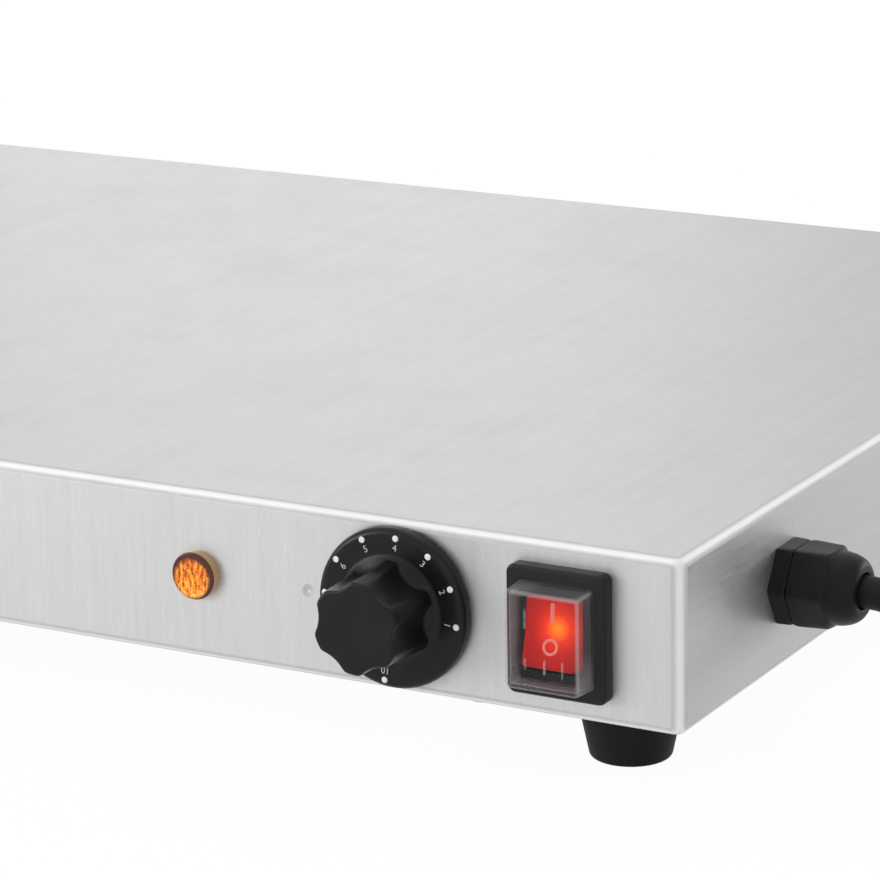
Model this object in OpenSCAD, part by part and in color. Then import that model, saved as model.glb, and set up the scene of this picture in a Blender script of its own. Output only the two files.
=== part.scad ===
// Electric food warmer tray: a folded steel hot plate on four rubber feet.
// Along its front stand a thermostat dial, a rocker switch under a clear
// splash cover and a pilot lamp. The supply cord leaves by a gland on the right.
// Millimetres, +Z up, front towards -Y. The origin lies on the table, under the
// middle of the box round the casing and its dial.

/* [Casing] */
// Width of the casing, left to right
body_w = 600; // [500:1:800]
// Depth of the casing, front to back
body_d = 350; // [300:1:500]
// Height of the casing's sides
body_h = 45.5; // [44:0.5:60]
// Thickness of the casing's sheet
sheet_t = 1; // [0.8:0.1:1.2]
// Outer radius of the folded edges
fold_r = 2.4; // [1.8:0.1:3]
// Outer radius of the ground upright corners
corner_r = 3.2; // [3:0.1:8]
// Width of the flanges turned in along the bottom
flange_w = 14; // [12:0.5:18]
// Thickness of the base plate
base_t = 0.8; // [0.6:0.1:1.5]
// How far the base plate stays inside the casing's sides
base_inset = 4; // [3:0.5:6]
// Diameter of a base screw's shank
base_screw_d = 3.6; // [3:0.1:4.5]
// How far a base screw stands in from the casing's side
base_screw_inset = 9.5; // [9:0.5:11]
// How far the end base screws stand in from the casing's ends
base_screw_end = 60; // [50:1:100]
// Number of air slots in each group under the base
slot_count = 8; // [4:1:12]
// Length of an air slot
slot_l = 40; // [20:1:60]
// Width of an air slot
slot_w = 3.2; // [2:0.1:3.8]
// Distance from one air slot to the next
slot_pitch = 9; // [7:0.5:12]

/* [Feet] */
// Height of the casing's lower edge above the table
foot_h = 17.5; // [16:0.5:30]
// Diameter of a foot where it meets the base plate
foot_top_d = 28; // [26:0.5:32]
// Diameter of a foot on the table
foot_bottom_d = 21; // [19:0.5:24]
// How far a foot's centre stands in from both sides
foot_inset = 27.5; // [26:0.5:40]
// Radius round a foot's lower rim
foot_edge = 1.4; // [0.8:0.1:2]
// Diameter of the recess for a foot's screw
foot_recess_d = 12.4; // [12:0.1:14]
// Depth of the recess for a foot's screw
foot_recess_h = 8; // [6:0.5:10]
// Diameter of a foot's screw
foot_screw_d = 5; // [4:0.5:6]

/* [Controls] */
// From the top down to the line of the controls and the gland
control_drop = 22.5; // [22:0.5:24]
// From the casing's right side to the dial's axis
knob_from_side = 79; // [72:1:100]
// From the casing's right side to the middle of the switch
switch_from_side = 32.5; // [28:0.5:38]
// From the casing's right side to the pilot lamp
lamp_from_side = 138.5; // [130:0.5:180]
// From the casing's front to the gland
gland_from_front = 61; // [50:1:75]
// From the dial's axis to the index dimple on the panel
index_radius = 26.2; // [24:0.1:30]
// Diameter of the index dimple
index_d = 3.8; // [2:0.1:5]
// Depth of the index dimple
index_depth = 0.4; // [0.2:0.05:0.5]

/* [Dial] */
// Diameter of the dial's skirt
skirt_d = 42.2; // [40:0.1:46]
// Thickness of the skirt
skirt_t = 3.4; // [3:0.1:5]
// Radius of the skirt's shoulder
skirt_shoulder = 1.8; // [1:0.1:2.4]
// Gap between the skirt and the panel
skirt_gap = 0.8; // [0.5:0.1:1.5]
// Thickness of the skirt's rim wall
skirt_wall = 1.6; // [1.2:0.1:2.5]
// Depth of the hollow behind the skirt
skirt_hollow = 2; // [1.6:0.1:2.4]
// How far the dial's face stands out from the panel
knob_reach = 22; // [18:0.5:28]
// Diameter of the grip at the skirt
grip_root_d = 26.4; // [25:0.1:30]
// Diameter of the grip at its face
grip_face_d = 24.4; // [23:0.1:28]
// Radius round the grip's face
grip_edge = 1; // [0.5:0.1:1.5]
// Number of hollows round the grip
scallops = 6; // [5:1:8]
// Diameter of the round cutter that hollows the grip
scallop_d = 18; // [15:0.5:22]
// Depth of a hollow at the grip's face
scallop_face_depth = 1.5; // [1:0.1:3]
// Depth of a hollow at the skirt
scallop_root_depth = 2.6; // [1:0.1:3.2]
// Diameter of the hub behind the skirt
hub_d = 13; // [12:0.5:16]
// Length of the shaft inside the dial
shaft_grip_l = 14; // [10:0.5:16]
// Width of the leaf spring in the hub
leaf_w = 4; // [3:0.1:4.5]
// Thickness of the leaf spring in the hub
leaf_t = 0.4; // [0.3:0.05:0.6]

/* [Thermostat] */
// Diameter of the thermostat's shaft
shaft_d = 6; // [5:0.1:7]
// Thickness left across the shaft's flat
shaft_flat = 4.6; // [3.8:0.1:5]
// Diameter of the threaded bushing round the shaft
bushing_d = 9; // [8.5:0.1:10]
// Width of the thermostat's body
stat_w = 36; // [34:0.5:40]
// Height of the thermostat's body
stat_h = 33; // [30:0.5:35]
// Depth of the thermostat's body
stat_depth = 22; // [18:0.5:26]
// Width of the thermostat's front plate
stat_plate_w = 42; // [40:0.5:46]
// Thickness of the thermostat's front plate
stat_plate_t = 1.5; // [1:0.1:2]
// Distance between the thermostat's two screws
stat_screw_pitch = 28; // [27:0.5:30]
// Diameter of a thermostat screw
stat_screw_d = 4; // [3:0.5:4]
// Diameter of the sensing bulb
bulb_d = 6; // [4:0.1:7]
// Length of the sensing bulb
bulb_l = 80; // [60:1:100]
// Distance of the sensing bulb's middle to the right of the centre line
bulb_x = 100; // [90:1:110]
// Diameter of the capillary tube
capillary_d = 1.8; // [1.2:0.1:2.2]

/* [Rocker switch] */
// Width of the switch's frame
bezel_w = 27.4; // [26.8:0.1:30]
// Height of the switch's frame
bezel_h = 33.4; // [32.6:0.1:36]
// How far the frame stands out from the panel
bezel_t = 4; // [3.4:0.1:5]
// Corner radius of the frame
bezel_r = 2.2; // [1:0.1:3.5]
// Width of the switch's body behind the panel
switch_w = 22; // [21.6:0.1:23]
// Height of the switch's body behind the panel
switch_h = 28; // [26:0.1:29]
// Depth of the switch's body behind the panel
switch_depth = 19; // [16:0.5:22]
// Width of the rocker
rocker_w = 14.6; // [12:0.1:15]
// Radius of the rocker's ends about its pivot
rocker_r = 9.4; // [8.6:0.1:9.6]
// Height of the rocker's crown above its pivot
rocker_crown = 5.6; // [5:0.1:6]
// Thickness of the rocker's wall
rocker_wall = 1.3; // [1:0.1:1.6]
// Distance of the pivot in front of the panel
pivot_out = 1; // [0.8:0.1:1.4]
// Diameter of the rocker's pivot pins
pivot_d = 2.6; // [2:0.1:2.8]
// Length of a pivot pin
pivot_l = 1.6; // [1.2:0.1:2.2]
// Tilt of the rocker to each side of level, in degrees
rocker_tilt = 11; // [9:0.5:12]
// Width of the clear cover
cover_w = 21.2; // [19:0.1:22]
// Height of the clear cover
cover_h = 26.2; // [23.6:0.1:27]
// Thickness of the clear cover
cover_t = 0.8; // [0.6:0.1:1]
// How far the cover stands out from the frame
cover_reach = 7.6; // [6.6:0.1:9]
// Corner radius of the clear cover
cover_r = 1.5; // [1.2:0.1:3]
// Depth of the groove that holds the cover
groove_depth = 0.6; // [0.4:0.1:1]

/* [Pilot lamp] */
// Diameter of the lamp's lens
lens_d = 12.8; // [12:0.1:15]
// How far the lens stands out from the panel
lens_reach = 2.6; // [2.4:0.1:5]
// Distance from one ring groove in the lens to the next
lens_pitch = 1.2; // [1.1:0.1:2]
// Depth of the ring grooves in the lens
lens_groove = 0.5; // [0.3:0.05:0.5]
// Diameter of the lamp's body
lamp_d = 10.4; // [9:0.1:10.6]
// Length of the lamp's body behind the panel
lamp_l = 19; // [14:0.5:24]
// Outer diameter of the ring that holds the lamp
lamp_ring_d = 16; // [15:0.5:20]

/* [Heater] */
// Depth of the bay for controls behind the front
bay_d = 62; // [58:1:80]
// Space between the heater's tray and the casing at each side
side_gap = 36; // [34:1:50]
// Space between the heater's tray and the casing's back
back_gap = 12; // [8:1:30]
// Thickness of the plate that spreads the heat
spreader_t = 2; // [1.5:0.1:2.5]
// How far the plate runs on in front of the tray
spreader_lip = 18; // [17:0.5:20]
// Diameter of the tubular element
element_d = 6.5; // [6:0.1:8]
// Number of the element's straight runs
element_runs = 6; // [4:2:6]
// Space between the tray's front and back and the nearest run
run_margin = 33; // [30:1:40]
// Space between the tray's sides and the element's bends
bend_margin = 20; // [12:1:40]
// Width of a clamp bar
clamp_w = 14; // [10:0.5:18]
// Thickness of a clamp bar
clamp_t = 1.5; // [1:0.1:2]
// Distance from one clamp bar to the next
clamp_pitch = 150; // [120:1:170]
// Diameter of the welded studs
stud_d = 4; // [3:0.5:4]
// Thickness of the insulating mat
mat_t = 17; // [12:0.5:18]
// Thickness of the tray's sheet
tray_t = 0.6; // [0.5:0.1:1]
// Diameter of the thermal cut-out
cutout_d = 15; // [13:0.5:16]
// Distance of the thermal cut-out to the right of the centre line
cutout_x = 30; // [20:1:40]

/* [Wiring] */
// Width of the terminal block
block_w = 32; // [30:1:36]
// Depth of the terminal block
block_d = 20; // [18:1:22]
// Height of the terminal block
block_h = 16; // [14:0.5:18]
// Distance of the terminal block to the right of the centre line
block_x = 100; // [90:1:105]
// From the casing's front to the middle of the terminal block
block_from_front = 36; // [34:1:38]
// Distance from one way of the terminal block to the next
way_pitch = 10; // [9:0.5:11]
// Diameter of an inner wire
wire_d = 2.4; // [1.8:0.1:2.8]
// Width of a push-on tab
tab_w = 6.3; // [4.8:0.1:6.3]
// Thickness of a push-on tab
tab_t = 0.8; // [0.5:0.1:1]

/* [Gland] */
// Width of the gland's hexagons across their flats
gland_af = 20; // [19:0.5:24]
// Thickness of the gland's flange
gland_flange_t = 4.6; // [3:0.1:6]
// Diameter of the gland's thread
gland_thread_d = 16; // [15:0.5:17]
// Length of the hexagon on the gland's dome nut
gland_hex_l = 9.4; // [7:0.1:12]
// How far the gland stands out from the casing
gland_reach = 22; // [20:0.5:24]
// Diameter of the dome's front rim
gland_rim_d = 12; // [11:0.1:14]
// Thickness of the lock nut inside the casing
lock_nut_t = 5; // [4:0.5:6]

/* [Supply cord] */
// Diameter of the supply cord
cord_d = 8.6; // [7:0.1:8.8]
// Radius of the coil's outermost turn
coil_r = 58; // [50:1:70]
// Distance from one turn of the coil to the next
coil_pitch = 9.2; // [9:0.1:12]
// Distance from one layer of the coil to the next
coil_rise = 9.2; // [9:0.1:12]
// Number of turns in the coil
coil_turns = 4.25; // [2.25:1:6.25]
// Width of the strap round the coil
tie_w = 10; // [8:0.5:16]
// Thickness of the strap round the coil
tie_t = 0.8; // [0.5:0.1:1]

/* [Plug] */
// Diameter of the plug's front
plug_d = 37; // [36:0.5:39]
// Length of the plug's body in front of its cord sleeve
plug_l = 36; // [30:0.5:45]
// Length of the plug's cord sleeve
sleeve_l = 24; // [20:0.5:30]
// Number of ribs round the cord sleeve
sleeve_ribs = 5; // [3:1:6]
// Diameter of a plug pin
pin_d = 4.8; // [4:0.1:5]
// Length of a plug pin
pin_l = 19; // [18:0.5:20]
// Distance between the two plug pins
pin_pitch = 19; // [18:0.5:20]

/* [Hidden] */
$fn = 48;

// Clearances
run_clear = 0.06;  // round a shaft that turns in its bearing
snug = 0.1;        // round a part that is fixed in its hole
lay = 0.2;         // between parts that lie on one another
free = 0.5;        // round a part that passes through a hole
cut = 1;           // how far a cutter runs past the face that it cuts

// Places
front_y = (knob_reach - body_d) / 2;
back_y = front_y + body_d;
casing_y = (front_y + back_y) / 2;
side_x = body_w / 2;
top_z = foot_h + body_h;
ceiling_z = top_z - sheet_t;
floor_z = foot_h;
control_z = top_z - control_drop;
knob_x = side_x - knob_from_side;
switch_x = side_x - switch_from_side;
lamp_x = side_x - lamp_from_side;
gland_y = front_y + gland_from_front;
fold_in = corner_r - fold_r;

// Heater stack, from the top down
spreader_z = ceiling_z - spreader_t;
element_z = spreader_z - snug - element_d / 2;
clamp_z = element_z - element_d / 2 - snug - clamp_t;
mat_z = clamp_z - lay - mat_t;
tray_z = mat_z - lay - tray_t;
tray_x = side_x - side_gap;
tray_front = front_y + bay_d;
tray_back = back_y - back_gap;
tray_y = (tray_front + tray_back) / 2;
element_pitch = (tray_back - tray_front - 2 * run_margin) / (element_runs - 1);
bend_x = tray_x - bend_margin - (element_pitch + element_d) / 2;
run_y = function(k) tray_y + (k - (element_runs - 1) / 2) * element_pitch;
stud_nut_af = 7;
stud_nut_t = 3.2;
stud_end = 1.4;
stud_weld = 0.3;
clamp_foot = 15;
clamp_stud_y = (element_runs - 1) / 2 * element_pitch + element_d / 2 + stud_nut_af + clamp_t + 1;
tray_stud_x = tray_x - 12;
tray_stud_y = (tray_back - tray_front) / 2 - 12;
strip_y = tray_front - spreader_lip / 2;

// Fasteners
base_head_d = 7.4;
base_head_h = 2.2;
base_screw_l = 6;
foot_head_d = 9.5;
foot_head_h = 3.2;
foot_washer_d = 11.6;
foot_washer_t = 1.2;
foot_nut_af = 8;
foot_nut_t = 4;
stat_head_d = 6.8;
stat_head_h = 1.8;
stat_screw_l = 6;

// Colours
steel = [0.78, 0.79, 0.8];
zinc = [0.7, 0.71, 0.72];
black = [0.07, 0.07, 0.07];
rubber_black = [0.1, 0.1, 0.1];
copper = [0.78, 0.5, 0.36];
brass = [0.8, 0.66, 0.36];
ivory = [0.88, 0.85, 0.76];
red = [0.8, 0.14, 0.1];
orange = [0.93, 0.45, 0.1];
clear = [0.85, 0.88, 0.9, 0.35];

// ---------------------------------------------------------------- places

// Puts a part on the front panel: its Y runs up and its Z out of the panel.
module on_front(x) translate([x, front_y, control_z]) rotate([90, 0, 0]) children();

// Puts a part on the right side: its Z runs out of the side and its Y back.
module on_right() translate([side_x, gland_y, control_z]) rotate([0, 90, 0]) children();

// Repeats a part at both signs of x and y.
module at_corners(x, y)
    for (sx = [-1, 1], sy = [-1, 1])
        translate([sx * x, sy * y, 0]) children();

// Middle of each base screw, seen from the casing's middle
base_screw_spots = concat(
    [for (sx = [-1, 0, 1], sy = [-1, 1])
        [sx * (side_x - base_screw_end), sy * (body_d / 2 - base_screw_inset)]],
    [for (sx = [-1, 1]) [sx * (side_x - base_screw_inset), 0]]);

// Middle of each clamp stud, seen from the tray's middle
clamp_spots = [for (i = [-1:1], sy = [-1, 1]) [i * clamp_pitch, sy * clamp_stud_y]];

// ---------------------------------------------------------------- shapes

// A rectangle with round corners, about its middle
module round_rect(w, h, r) {
    square([w - 2 * r, h], center = true);
    square([w, h - 2 * r], center = true);
    for (sx = [-1, 1], sy = [-1, 1])
        translate([sx * (w / 2 - r), sy * (h / 2 - r)]) circle(r);
}

module round_plate(w, h, r, t) linear_extrude(t) round_rect(w, h, r);

// A slot with round ends along X
module slot(l, w) {
    square([l - w, w], center = true);
    for (s = [-1, 1]) translate([s * (l - w) / 2, 0]) circle(d = w);
}

module ring(outer_d, bore_d, h)
    difference() {
        cylinder(d = outer_d, h = h);
        translate([0, 0, -cut]) cylinder(d = bore_d, h = h + 2 * cut);
    }

module nut(across_flats, bore_d, h)
    difference() {
        cylinder(d = across_flats / cos(30), h = h, $fn = 6);
        translate([0, 0, -cut]) cylinder(d = bore_d, h = h + 2 * cut);
    }

// A screw whose head lies below z = 0
module screw(head_d, head_h, shank_d, shank_l) {
    translate([0, 0, -head_h]) cylinder(d = head_d, h = head_h);
    cylinder(d = shank_d, h = shank_l);
}

// A round bar with one flat, kept to the thickness across the flat
module flatted(d, flat, h)
    linear_extrude(h) intersection() {
        circle(d = d);
        translate([-d, -d / 2]) square([2 * d, flat]);
    }

module tab(l) translate([-tab_w / 2, -tab_t / 2, 0]) cube([tab_w, tab_t, l]);

// ---------------------------------------------------------------- tubes along paths

function unit(v) = v / norm(v);

// Direction of a path at each of its points
function headings(p) = [for (i = [0:len(p) - 1])
    unit(p[min(i + 1, len(p) - 1)] - p[max(i - 1, 0)])];

// A vector square to the heading, carried along without twisting
function carried(t, a) = unit(a - (a * t) * t);

function sideways(t) = [
    for (i = 0, a = carried(t[0], cross(t[0], [0.1, 0.2, 1])); i < len(t);
         i = i + 1, a = i < len(t) ? carried(t[i], a) : a) a];

// One unbroken tube along the points of a path, its ends cut square
module tube(path, d, sides) {
    t = headings(path);
    a = sideways(t);
    n = len(path);
    points = [for (i = [0:n - 1], k = [0:sides - 1])
        path[i] + d / 2 * (cos(360 * k / sides) * a[i] + sin(360 * k / sides) * cross(t[i], a[i]))];
    faces = concat(
        [for (i = [0:n - 2], k = [0:sides - 1]) let (j = (k + 1) % sides)
            each [[i * sides + k, (i + 1) * sides + k, i * sides + j],
                  [i * sides + j, (i + 1) * sides + k, (i + 1) * sides + j]]],
        [for (k = [1:sides - 2]) [0, k, k + 1]],
        [for (k = [1:sides - 2])
            [(n - 1) * sides, (n - 1) * sides + k + 1, (n - 1) * sides + k]]);
    polyhedron(points, faces, convexity = 6);
}

function length_of(p, i = 0) = i > len(p) - 2 ? 0 : norm(p[i + 1] - p[i]) + length_of(p, i + 1);

// A path that leaves p along dp and reaches q along dq, as a cubic curve
function curve(p, dp, q, dq, n = 8) = [for (i = [0:n]) let (u = i / n, v = 1 - u)
    v * v * v * p + 3 * v * v * u * (p + dp) + 3 * v * u * u * (q - dq) + u * u * u * q];

// The same with a short straight stub at both ends, just clear of what it meets
function run(p, dp, q, dq, n = 8) =
    concat([p + lay * unit(dp)], curve(p + stub * unit(dp), dp, q - stub * unit(dq), dq, n),
           [q - lay * unit(dq)]);
stub = 3;

// ---------------------------------------------------------------- casing

// Quarter of a fold in the sheet, about its centre
module fold_quarter() intersection() {
    difference() {
        circle(fold_r);
        circle(fold_r - sheet_t);
    }
    square(fold_r);
}

// Section of a side from the corner's axis outwards: top, fold, side and lower fold
module side_section() {
    translate([corner_r - sheet_t, fold_r]) square([sheet_t, body_h - 2 * fold_r]);
    translate([fold_in, body_h - fold_r]) fold_quarter();
    translate([fold_in, fold_r]) mirror([0, 1]) fold_quarter();
    translate([0, body_h - sheet_t]) square([fold_in, sheet_t]);
    square([fold_in, sheet_t]);
}

// One side with its flange, running along Y between two corners
module side_run(l) {
    rotate([90, 0, 0]) translate([0, 0, -l / 2]) linear_extrude(l) side_section();
    e = l / 2 - cut;
    linear_extrude(sheet_t)
        polygon([[0, -e], [0, e], [fold_r - flange_w, e - flange_w], [fold_r - flange_w, flange_w - e]]);
}

module casing_blank() {
    w = body_w - 2 * corner_r;
    d = body_d - 2 * corner_r;
    translate([-w / 2, -d / 2, body_h - sheet_t]) cube([w, d, sheet_t]);
    for (k = [0:3]) rotate([0, 0, 90 * k])
        translate([(k % 2 == 0 ? w : d) / 2, 0, 0]) side_run(k % 2 == 0 ? d : w);
    for (sx = [0, 1], sy = [0, 1]) mirror([sx, 0, 0]) mirror([0, sy, 0])
        translate([w / 2, d / 2, 0]) rotate_extrude(angle = 90) side_section();
}

// Studs welded under the top: short ones for the clamps, long ones for the tray
module welded_studs() {
    short = spreader_t + lay + clamp_t + stud_nut_t + stud_end;
    long = ceiling_z - tray_z + stud_nut_t + stud_end;
    translate([0, tray_y, ceiling_z + stud_weld]) mirror([0, 0, 1]) {
        for (p = clamp_spots) translate(p) cylinder(d = stud_d, h = short + stud_weld);
        at_corners(tray_stud_x, tray_stud_y) cylinder(d = stud_d, h = long + stud_weld);
    }
}

module top_shell() color(steel) {
    difference() {
        translate([0, casing_y, foot_h]) casing_blank();
        on_front(knob_x) translate([0, 0, -sheet_t - cut]) {
            cylinder(d = bushing_d + 2 * free, h = sheet_t + 2 * cut);
            for (s = [-1, 1]) translate([s * stat_screw_pitch / 2, 0, 0])
                cylinder(d = stat_screw_d + 2 * snug, h = sheet_t + 2 * cut);
        }
        // A shallow dimple, cut by a ball that is as wide as the dimple at the panel
        ball_r = (index_d * index_d / 4 + index_depth * index_depth) / (2 * index_depth);
        on_front(knob_x - index_radius) translate([0, 0, ball_r - index_depth]) sphere(ball_r);
        on_front(switch_x) translate([0, 0, -sheet_t - cut])
            round_plate(switch_w + 2 * snug, switch_h + 2 * snug, cut, sheet_t + 2 * cut);
        on_front(lamp_x) translate([0, 0, -sheet_t - cut])
            cylinder(d = lamp_d + 2 * snug, h = sheet_t + 2 * cut);
        on_right() translate([0, 0, -sheet_t - cut])
            cylinder(d = gland_thread_d + 2 * snug, h = sheet_t + 2 * cut);
        translate([0, casing_y, foot_h - cut]) for (p = base_screw_spots)
            translate(p) cylinder(d = base_screw_d + 2 * snug, h = sheet_t + 2 * cut);
    }
    welded_studs();
}

module base_plate() color(zinc) translate([0, casing_y, foot_h - base_t]) difference() {
    round_plate(body_w - 2 * base_inset, body_d - 2 * base_inset, corner_r, base_t);
    translate([0, 0, -cut]) {
        for (p = base_screw_spots)
            translate(p) cylinder(d = base_screw_d + 2 * snug, h = base_t + 2 * cut);
        at_corners(side_x - foot_inset, body_d / 2 - foot_inset)
            cylinder(d = foot_screw_d + 2 * snug, h = base_t + 2 * cut);
        for (s = [-1, 1], i = [0:slot_count - 1])
            translate([s * side_x / 2 + (i - (slot_count - 1) / 2) * slot_pitch, 0, 0])
                linear_extrude(base_t + 2 * cut) rotate(90) slot(slot_l, slot_w);
        for (s = [-1, 1]) translate([block_x + s * way_pitch / 2, block_y - casing_y, 0])
            cylinder(d = block_screw_d + 2 * snug, h = base_t + 2 * cut);
    }
}

module base_screws() color(zinc) translate([0, casing_y, foot_h - base_t])
    for (p = base_screw_spots) translate(p)
        screw(base_head_d, base_head_h, base_screw_d, base_screw_l);

// ---------------------------------------------------------------- feet

// A tapered foot with a rounded lower rim and a recess for its screw
module foot(sx, sy) color(rubber_black)
    translate([sx * (side_x - foot_inset), casing_y + sy * (body_d / 2 - foot_inset), 0])
    difference() {
        rotate_extrude() {
            polygon([[0, foot_edge], [foot_bottom_d / 2, foot_edge],
                     [foot_top_d / 2, foot_h - base_t], [0, foot_h - base_t]]);
            square([foot_bottom_d / 2 - foot_edge, 2 * foot_edge]);
            translate([foot_bottom_d / 2 - foot_edge, foot_edge]) circle(foot_edge);
        }
        translate([0, 0, -cut]) cylinder(d = foot_recess_d, h = foot_recess_h + cut);
        cylinder(d = foot_screw_d + 2 * snug, h = foot_h);
    }

module at_feet() translate([0, casing_y, 0])
    at_corners(side_x - foot_inset, body_d / 2 - foot_inset) children();

module foot_screws() color(zinc) at_feet() translate([0, 0, foot_recess_h - foot_washer_t])
    screw(foot_head_d, foot_head_h, foot_screw_d,
          foot_h + foot_nut_t + stud_end - foot_recess_h + foot_washer_t);

module foot_washers() color(zinc) at_feet() translate([0, 0, foot_recess_h - foot_washer_t])
    ring(foot_washer_d, foot_screw_d + 2 * snug, foot_washer_t);

module foot_nuts() color(zinc) at_feet() translate([0, 0, floor_z])
    nut(foot_nut_af, foot_screw_d + 2 * snug, foot_nut_t);

// ---------------------------------------------------------------- heater

module spreader_plate() color([0.83, 0.84, 0.85]) difference() {
    translate([-tray_x, tray_front - spreader_lip, spreader_z])
        cube([2 * tray_x, tray_back - tray_front + spreader_lip, spreader_t]);
    translate([0, tray_y, spreader_z - cut]) {
        for (p = clamp_spots) translate(p) cylinder(d = stud_d + 2 * snug, h = spreader_t + 2 * cut);
        at_corners(tray_stud_x, tray_stud_y) cylinder(d = stud_d + 2 * snug, h = spreader_t + 2 * cut);
    }
}

// A straight piece of a round bar along X
module bar_x(x0, x1, y, z, d) translate([x0, y, z]) rotate([0, 90, 0]) cylinder(d = d, h = x1 - x0);

// One unbroken tube: straight runs joined by half-round bends, both ends at the right
module heating_element() color([0.36, 0.33, 0.3]) {
    bend_r = element_pitch / 2;
    end_x = tray_x + element_tail;
    for (k = [0:element_runs - 1])
        bar_x(-bend_x, k == 0 || k == element_runs - 1 ? end_x : bend_x,
              run_y(k), element_z, element_d);
    for (k = [0:element_runs - 2]) {
        side = k % 2 == 0 ? -1 : 1;
        translate([side * bend_x, run_y(k) + bend_r, element_z]) rotate([0, 0, -90 * side])
            rotate_extrude(angle = 180) translate([bend_r, 0]) circle(d = element_d);
    }
}
element_tail = 9;
bead_d = 7.5;
bead_l = 6;
stem_d = 3;
stem_l = 8;

module element_terminals() color(ivory) for (k = [0, element_runs - 1]) {
    x = tray_x + element_tail;
    bar_x(x, x + bead_l, run_y(k), element_z, bead_d);
    bar_x(x + bead_l, x + bead_l + stem_l, run_y(k), element_z, stem_d);
}

// Bars across the runs, joggled up to their studs at both ends
module clamp_bars() color(zinc) difference() {
    foot_z = spreader_z - lay - clamp_t;
    mid = clamp_stud_y - clamp_foot / 2 + clamp_t;
    for (i = [-1:1]) translate([i * clamp_pitch, tray_y, 0]) rotate([90, 0, 90])
        translate([0, 0, -clamp_w / 2]) linear_extrude(clamp_w) {
            translate([-mid, clamp_z]) square([2 * mid, clamp_t]);
            for (s = [0, 1]) mirror([s, 0]) {
                translate([mid - clamp_t, clamp_z]) square([clamp_t, foot_z - clamp_z + clamp_t]);
                translate([mid - clamp_t, foot_z]) square([clamp_foot, clamp_t]);
            }
        }
    for (p = clamp_spots) translate([p.x, tray_y + p.y, foot_z - cut])
        cylinder(d = stud_d + 2 * snug, h = clamp_t + 2 * cut);
}

module clamp_nuts() color(zinc) for (p = clamp_spots)
    translate([p.x, tray_y + p.y, spreader_z - lay - clamp_t - stud_nut_t])
        nut(stud_nut_af, stud_d + 2 * snug, stud_nut_t);

// A mat with its top edges rounded off, as a cut blanket lies in its tray
module insulating_mat() color([0.86, 0.84, 0.74]) difference() {
    w = 2 * (tray_x - tray_t - lay);
    d = tray_back - tray_front - 2 * (tray_t + lay);
    translate([0, tray_y, mat_z]) round_plate(w, d, 2 * fold_r, mat_t);
    translate([0, tray_y, mat_z - cut]) at_corners(tray_stud_x, tray_stud_y)
        cylinder(d = stud_d + 2 * free, h = mat_t + 2 * cut);
}

// A shallow tray that holds the mat up, notched where the element's ends pass
module heater_tray() color(zinc) difference() {
    w = 2 * tray_x;
    d = tray_back - tray_front;
    wall_h = spreader_z - lay - tray_z;
    translate([0, tray_y, tray_z]) difference() {
        round_plate(w, d, 2 * fold_r + tray_t, wall_h);
        translate([0, 0, tray_t])
            round_plate(w - 2 * tray_t, d - 2 * tray_t, 2 * fold_r, wall_h);
        translate([0, 0, -cut]) at_corners(tray_stud_x, tray_stud_y)
            cylinder(d = stud_d + 2 * snug, h = tray_t + 2 * cut);
    }
    for (k = [0, element_runs - 1])
        translate([tray_x - tray_t - cut, run_y(k) - bead_d / 2, element_z - bead_d / 2])
            cube([tray_t + 2 * cut, bead_d, spreader_z]);
}

module tray_nuts() color(zinc) translate([0, tray_y, tray_z - stud_nut_t])
    at_corners(tray_stud_x, tray_stud_y) nut(stud_nut_af, stud_d + 2 * snug, stud_nut_t);

// ---------------------------------------------------------------- thermostat

shaft_back = 14;       // how deep the shaft reaches behind the panel
stat_back = sheet_t + stat_plate_t + stat_depth;
stat_tab_l = 7;
stat_tab_x = 9;
capillary_x = -12;
capillary_z = 10;

module thermostat_body() color([0.85, 0.83, 0.78]) on_front(knob_x) difference() {
    union() {
        translate([0, 0, -sheet_t - stat_plate_t])
            round_plate(stat_plate_w, stat_h, fold_r, stat_plate_t);
        translate([0, 0, -stat_back]) round_plate(stat_w, stat_h - 2, fold_r, stat_depth);
        translate([0, 0, -sheet_t - cut]) cylinder(d = bushing_d, h = sheet_t + cut + skirt_gap / 2);
        for (s = [-1, 1]) translate([s * stat_tab_x, -stat_tab_x, -stat_back - stat_tab_l])
            tab(stat_tab_l + cut);
    }
    translate([0, 0, -shaft_back - snug]) cylinder(d = shaft_d + 2 * run_clear, h = stat_back);
    for (s = [-1, 1]) translate([s * stat_screw_pitch / 2, 0, -stat_screw_l - sheet_t])
        cylinder(d = stat_screw_d + 2 * snug, h = stat_screw_l + cut);
}

module thermostat_screws() color(zinc) on_front(knob_x)
    for (s = [-1, 1]) translate([s * stat_screw_pitch / 2, 0, 0]) mirror([0, 0, 1])
        screw(stat_head_d, stat_head_h, stat_screw_d, stat_screw_l);

// Round in its bearing, flatted inside the dial
module thermostat_shaft() color(brass) on_front(knob_x) {
    translate([0, 0, -shaft_back]) cylinder(d = shaft_d, h = shaft_back + skirt_gap);
    translate([0, 0, skirt_gap]) flatted(shaft_d, shaft_flat, shaft_grip_l);
}

bulb_z = spreader_z - snug - bulb_d / 2;

// The bulb lies under the spreading plate, and its capillary runs to the thermostat
module capillary_bulb() color(copper) {
    start = [bulb_x + bulb_l / 2, strip_y, bulb_z];
    goal = [knob_x + capillary_x, front_y + stat_back, control_z + capillary_z];
    bar_x(bulb_x - bulb_l / 2, start.x, strip_y, bulb_z, bulb_d);
    tube(concat([start - [cut, 0, 0]],
                run(start, [2 * small_bend, 0, 0], goal, [0, -2 * small_bend, 0], 12)),
         capillary_d, 8);
}

clip_w = 10;
clip_t = 1;
clip_foot = 5;

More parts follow.
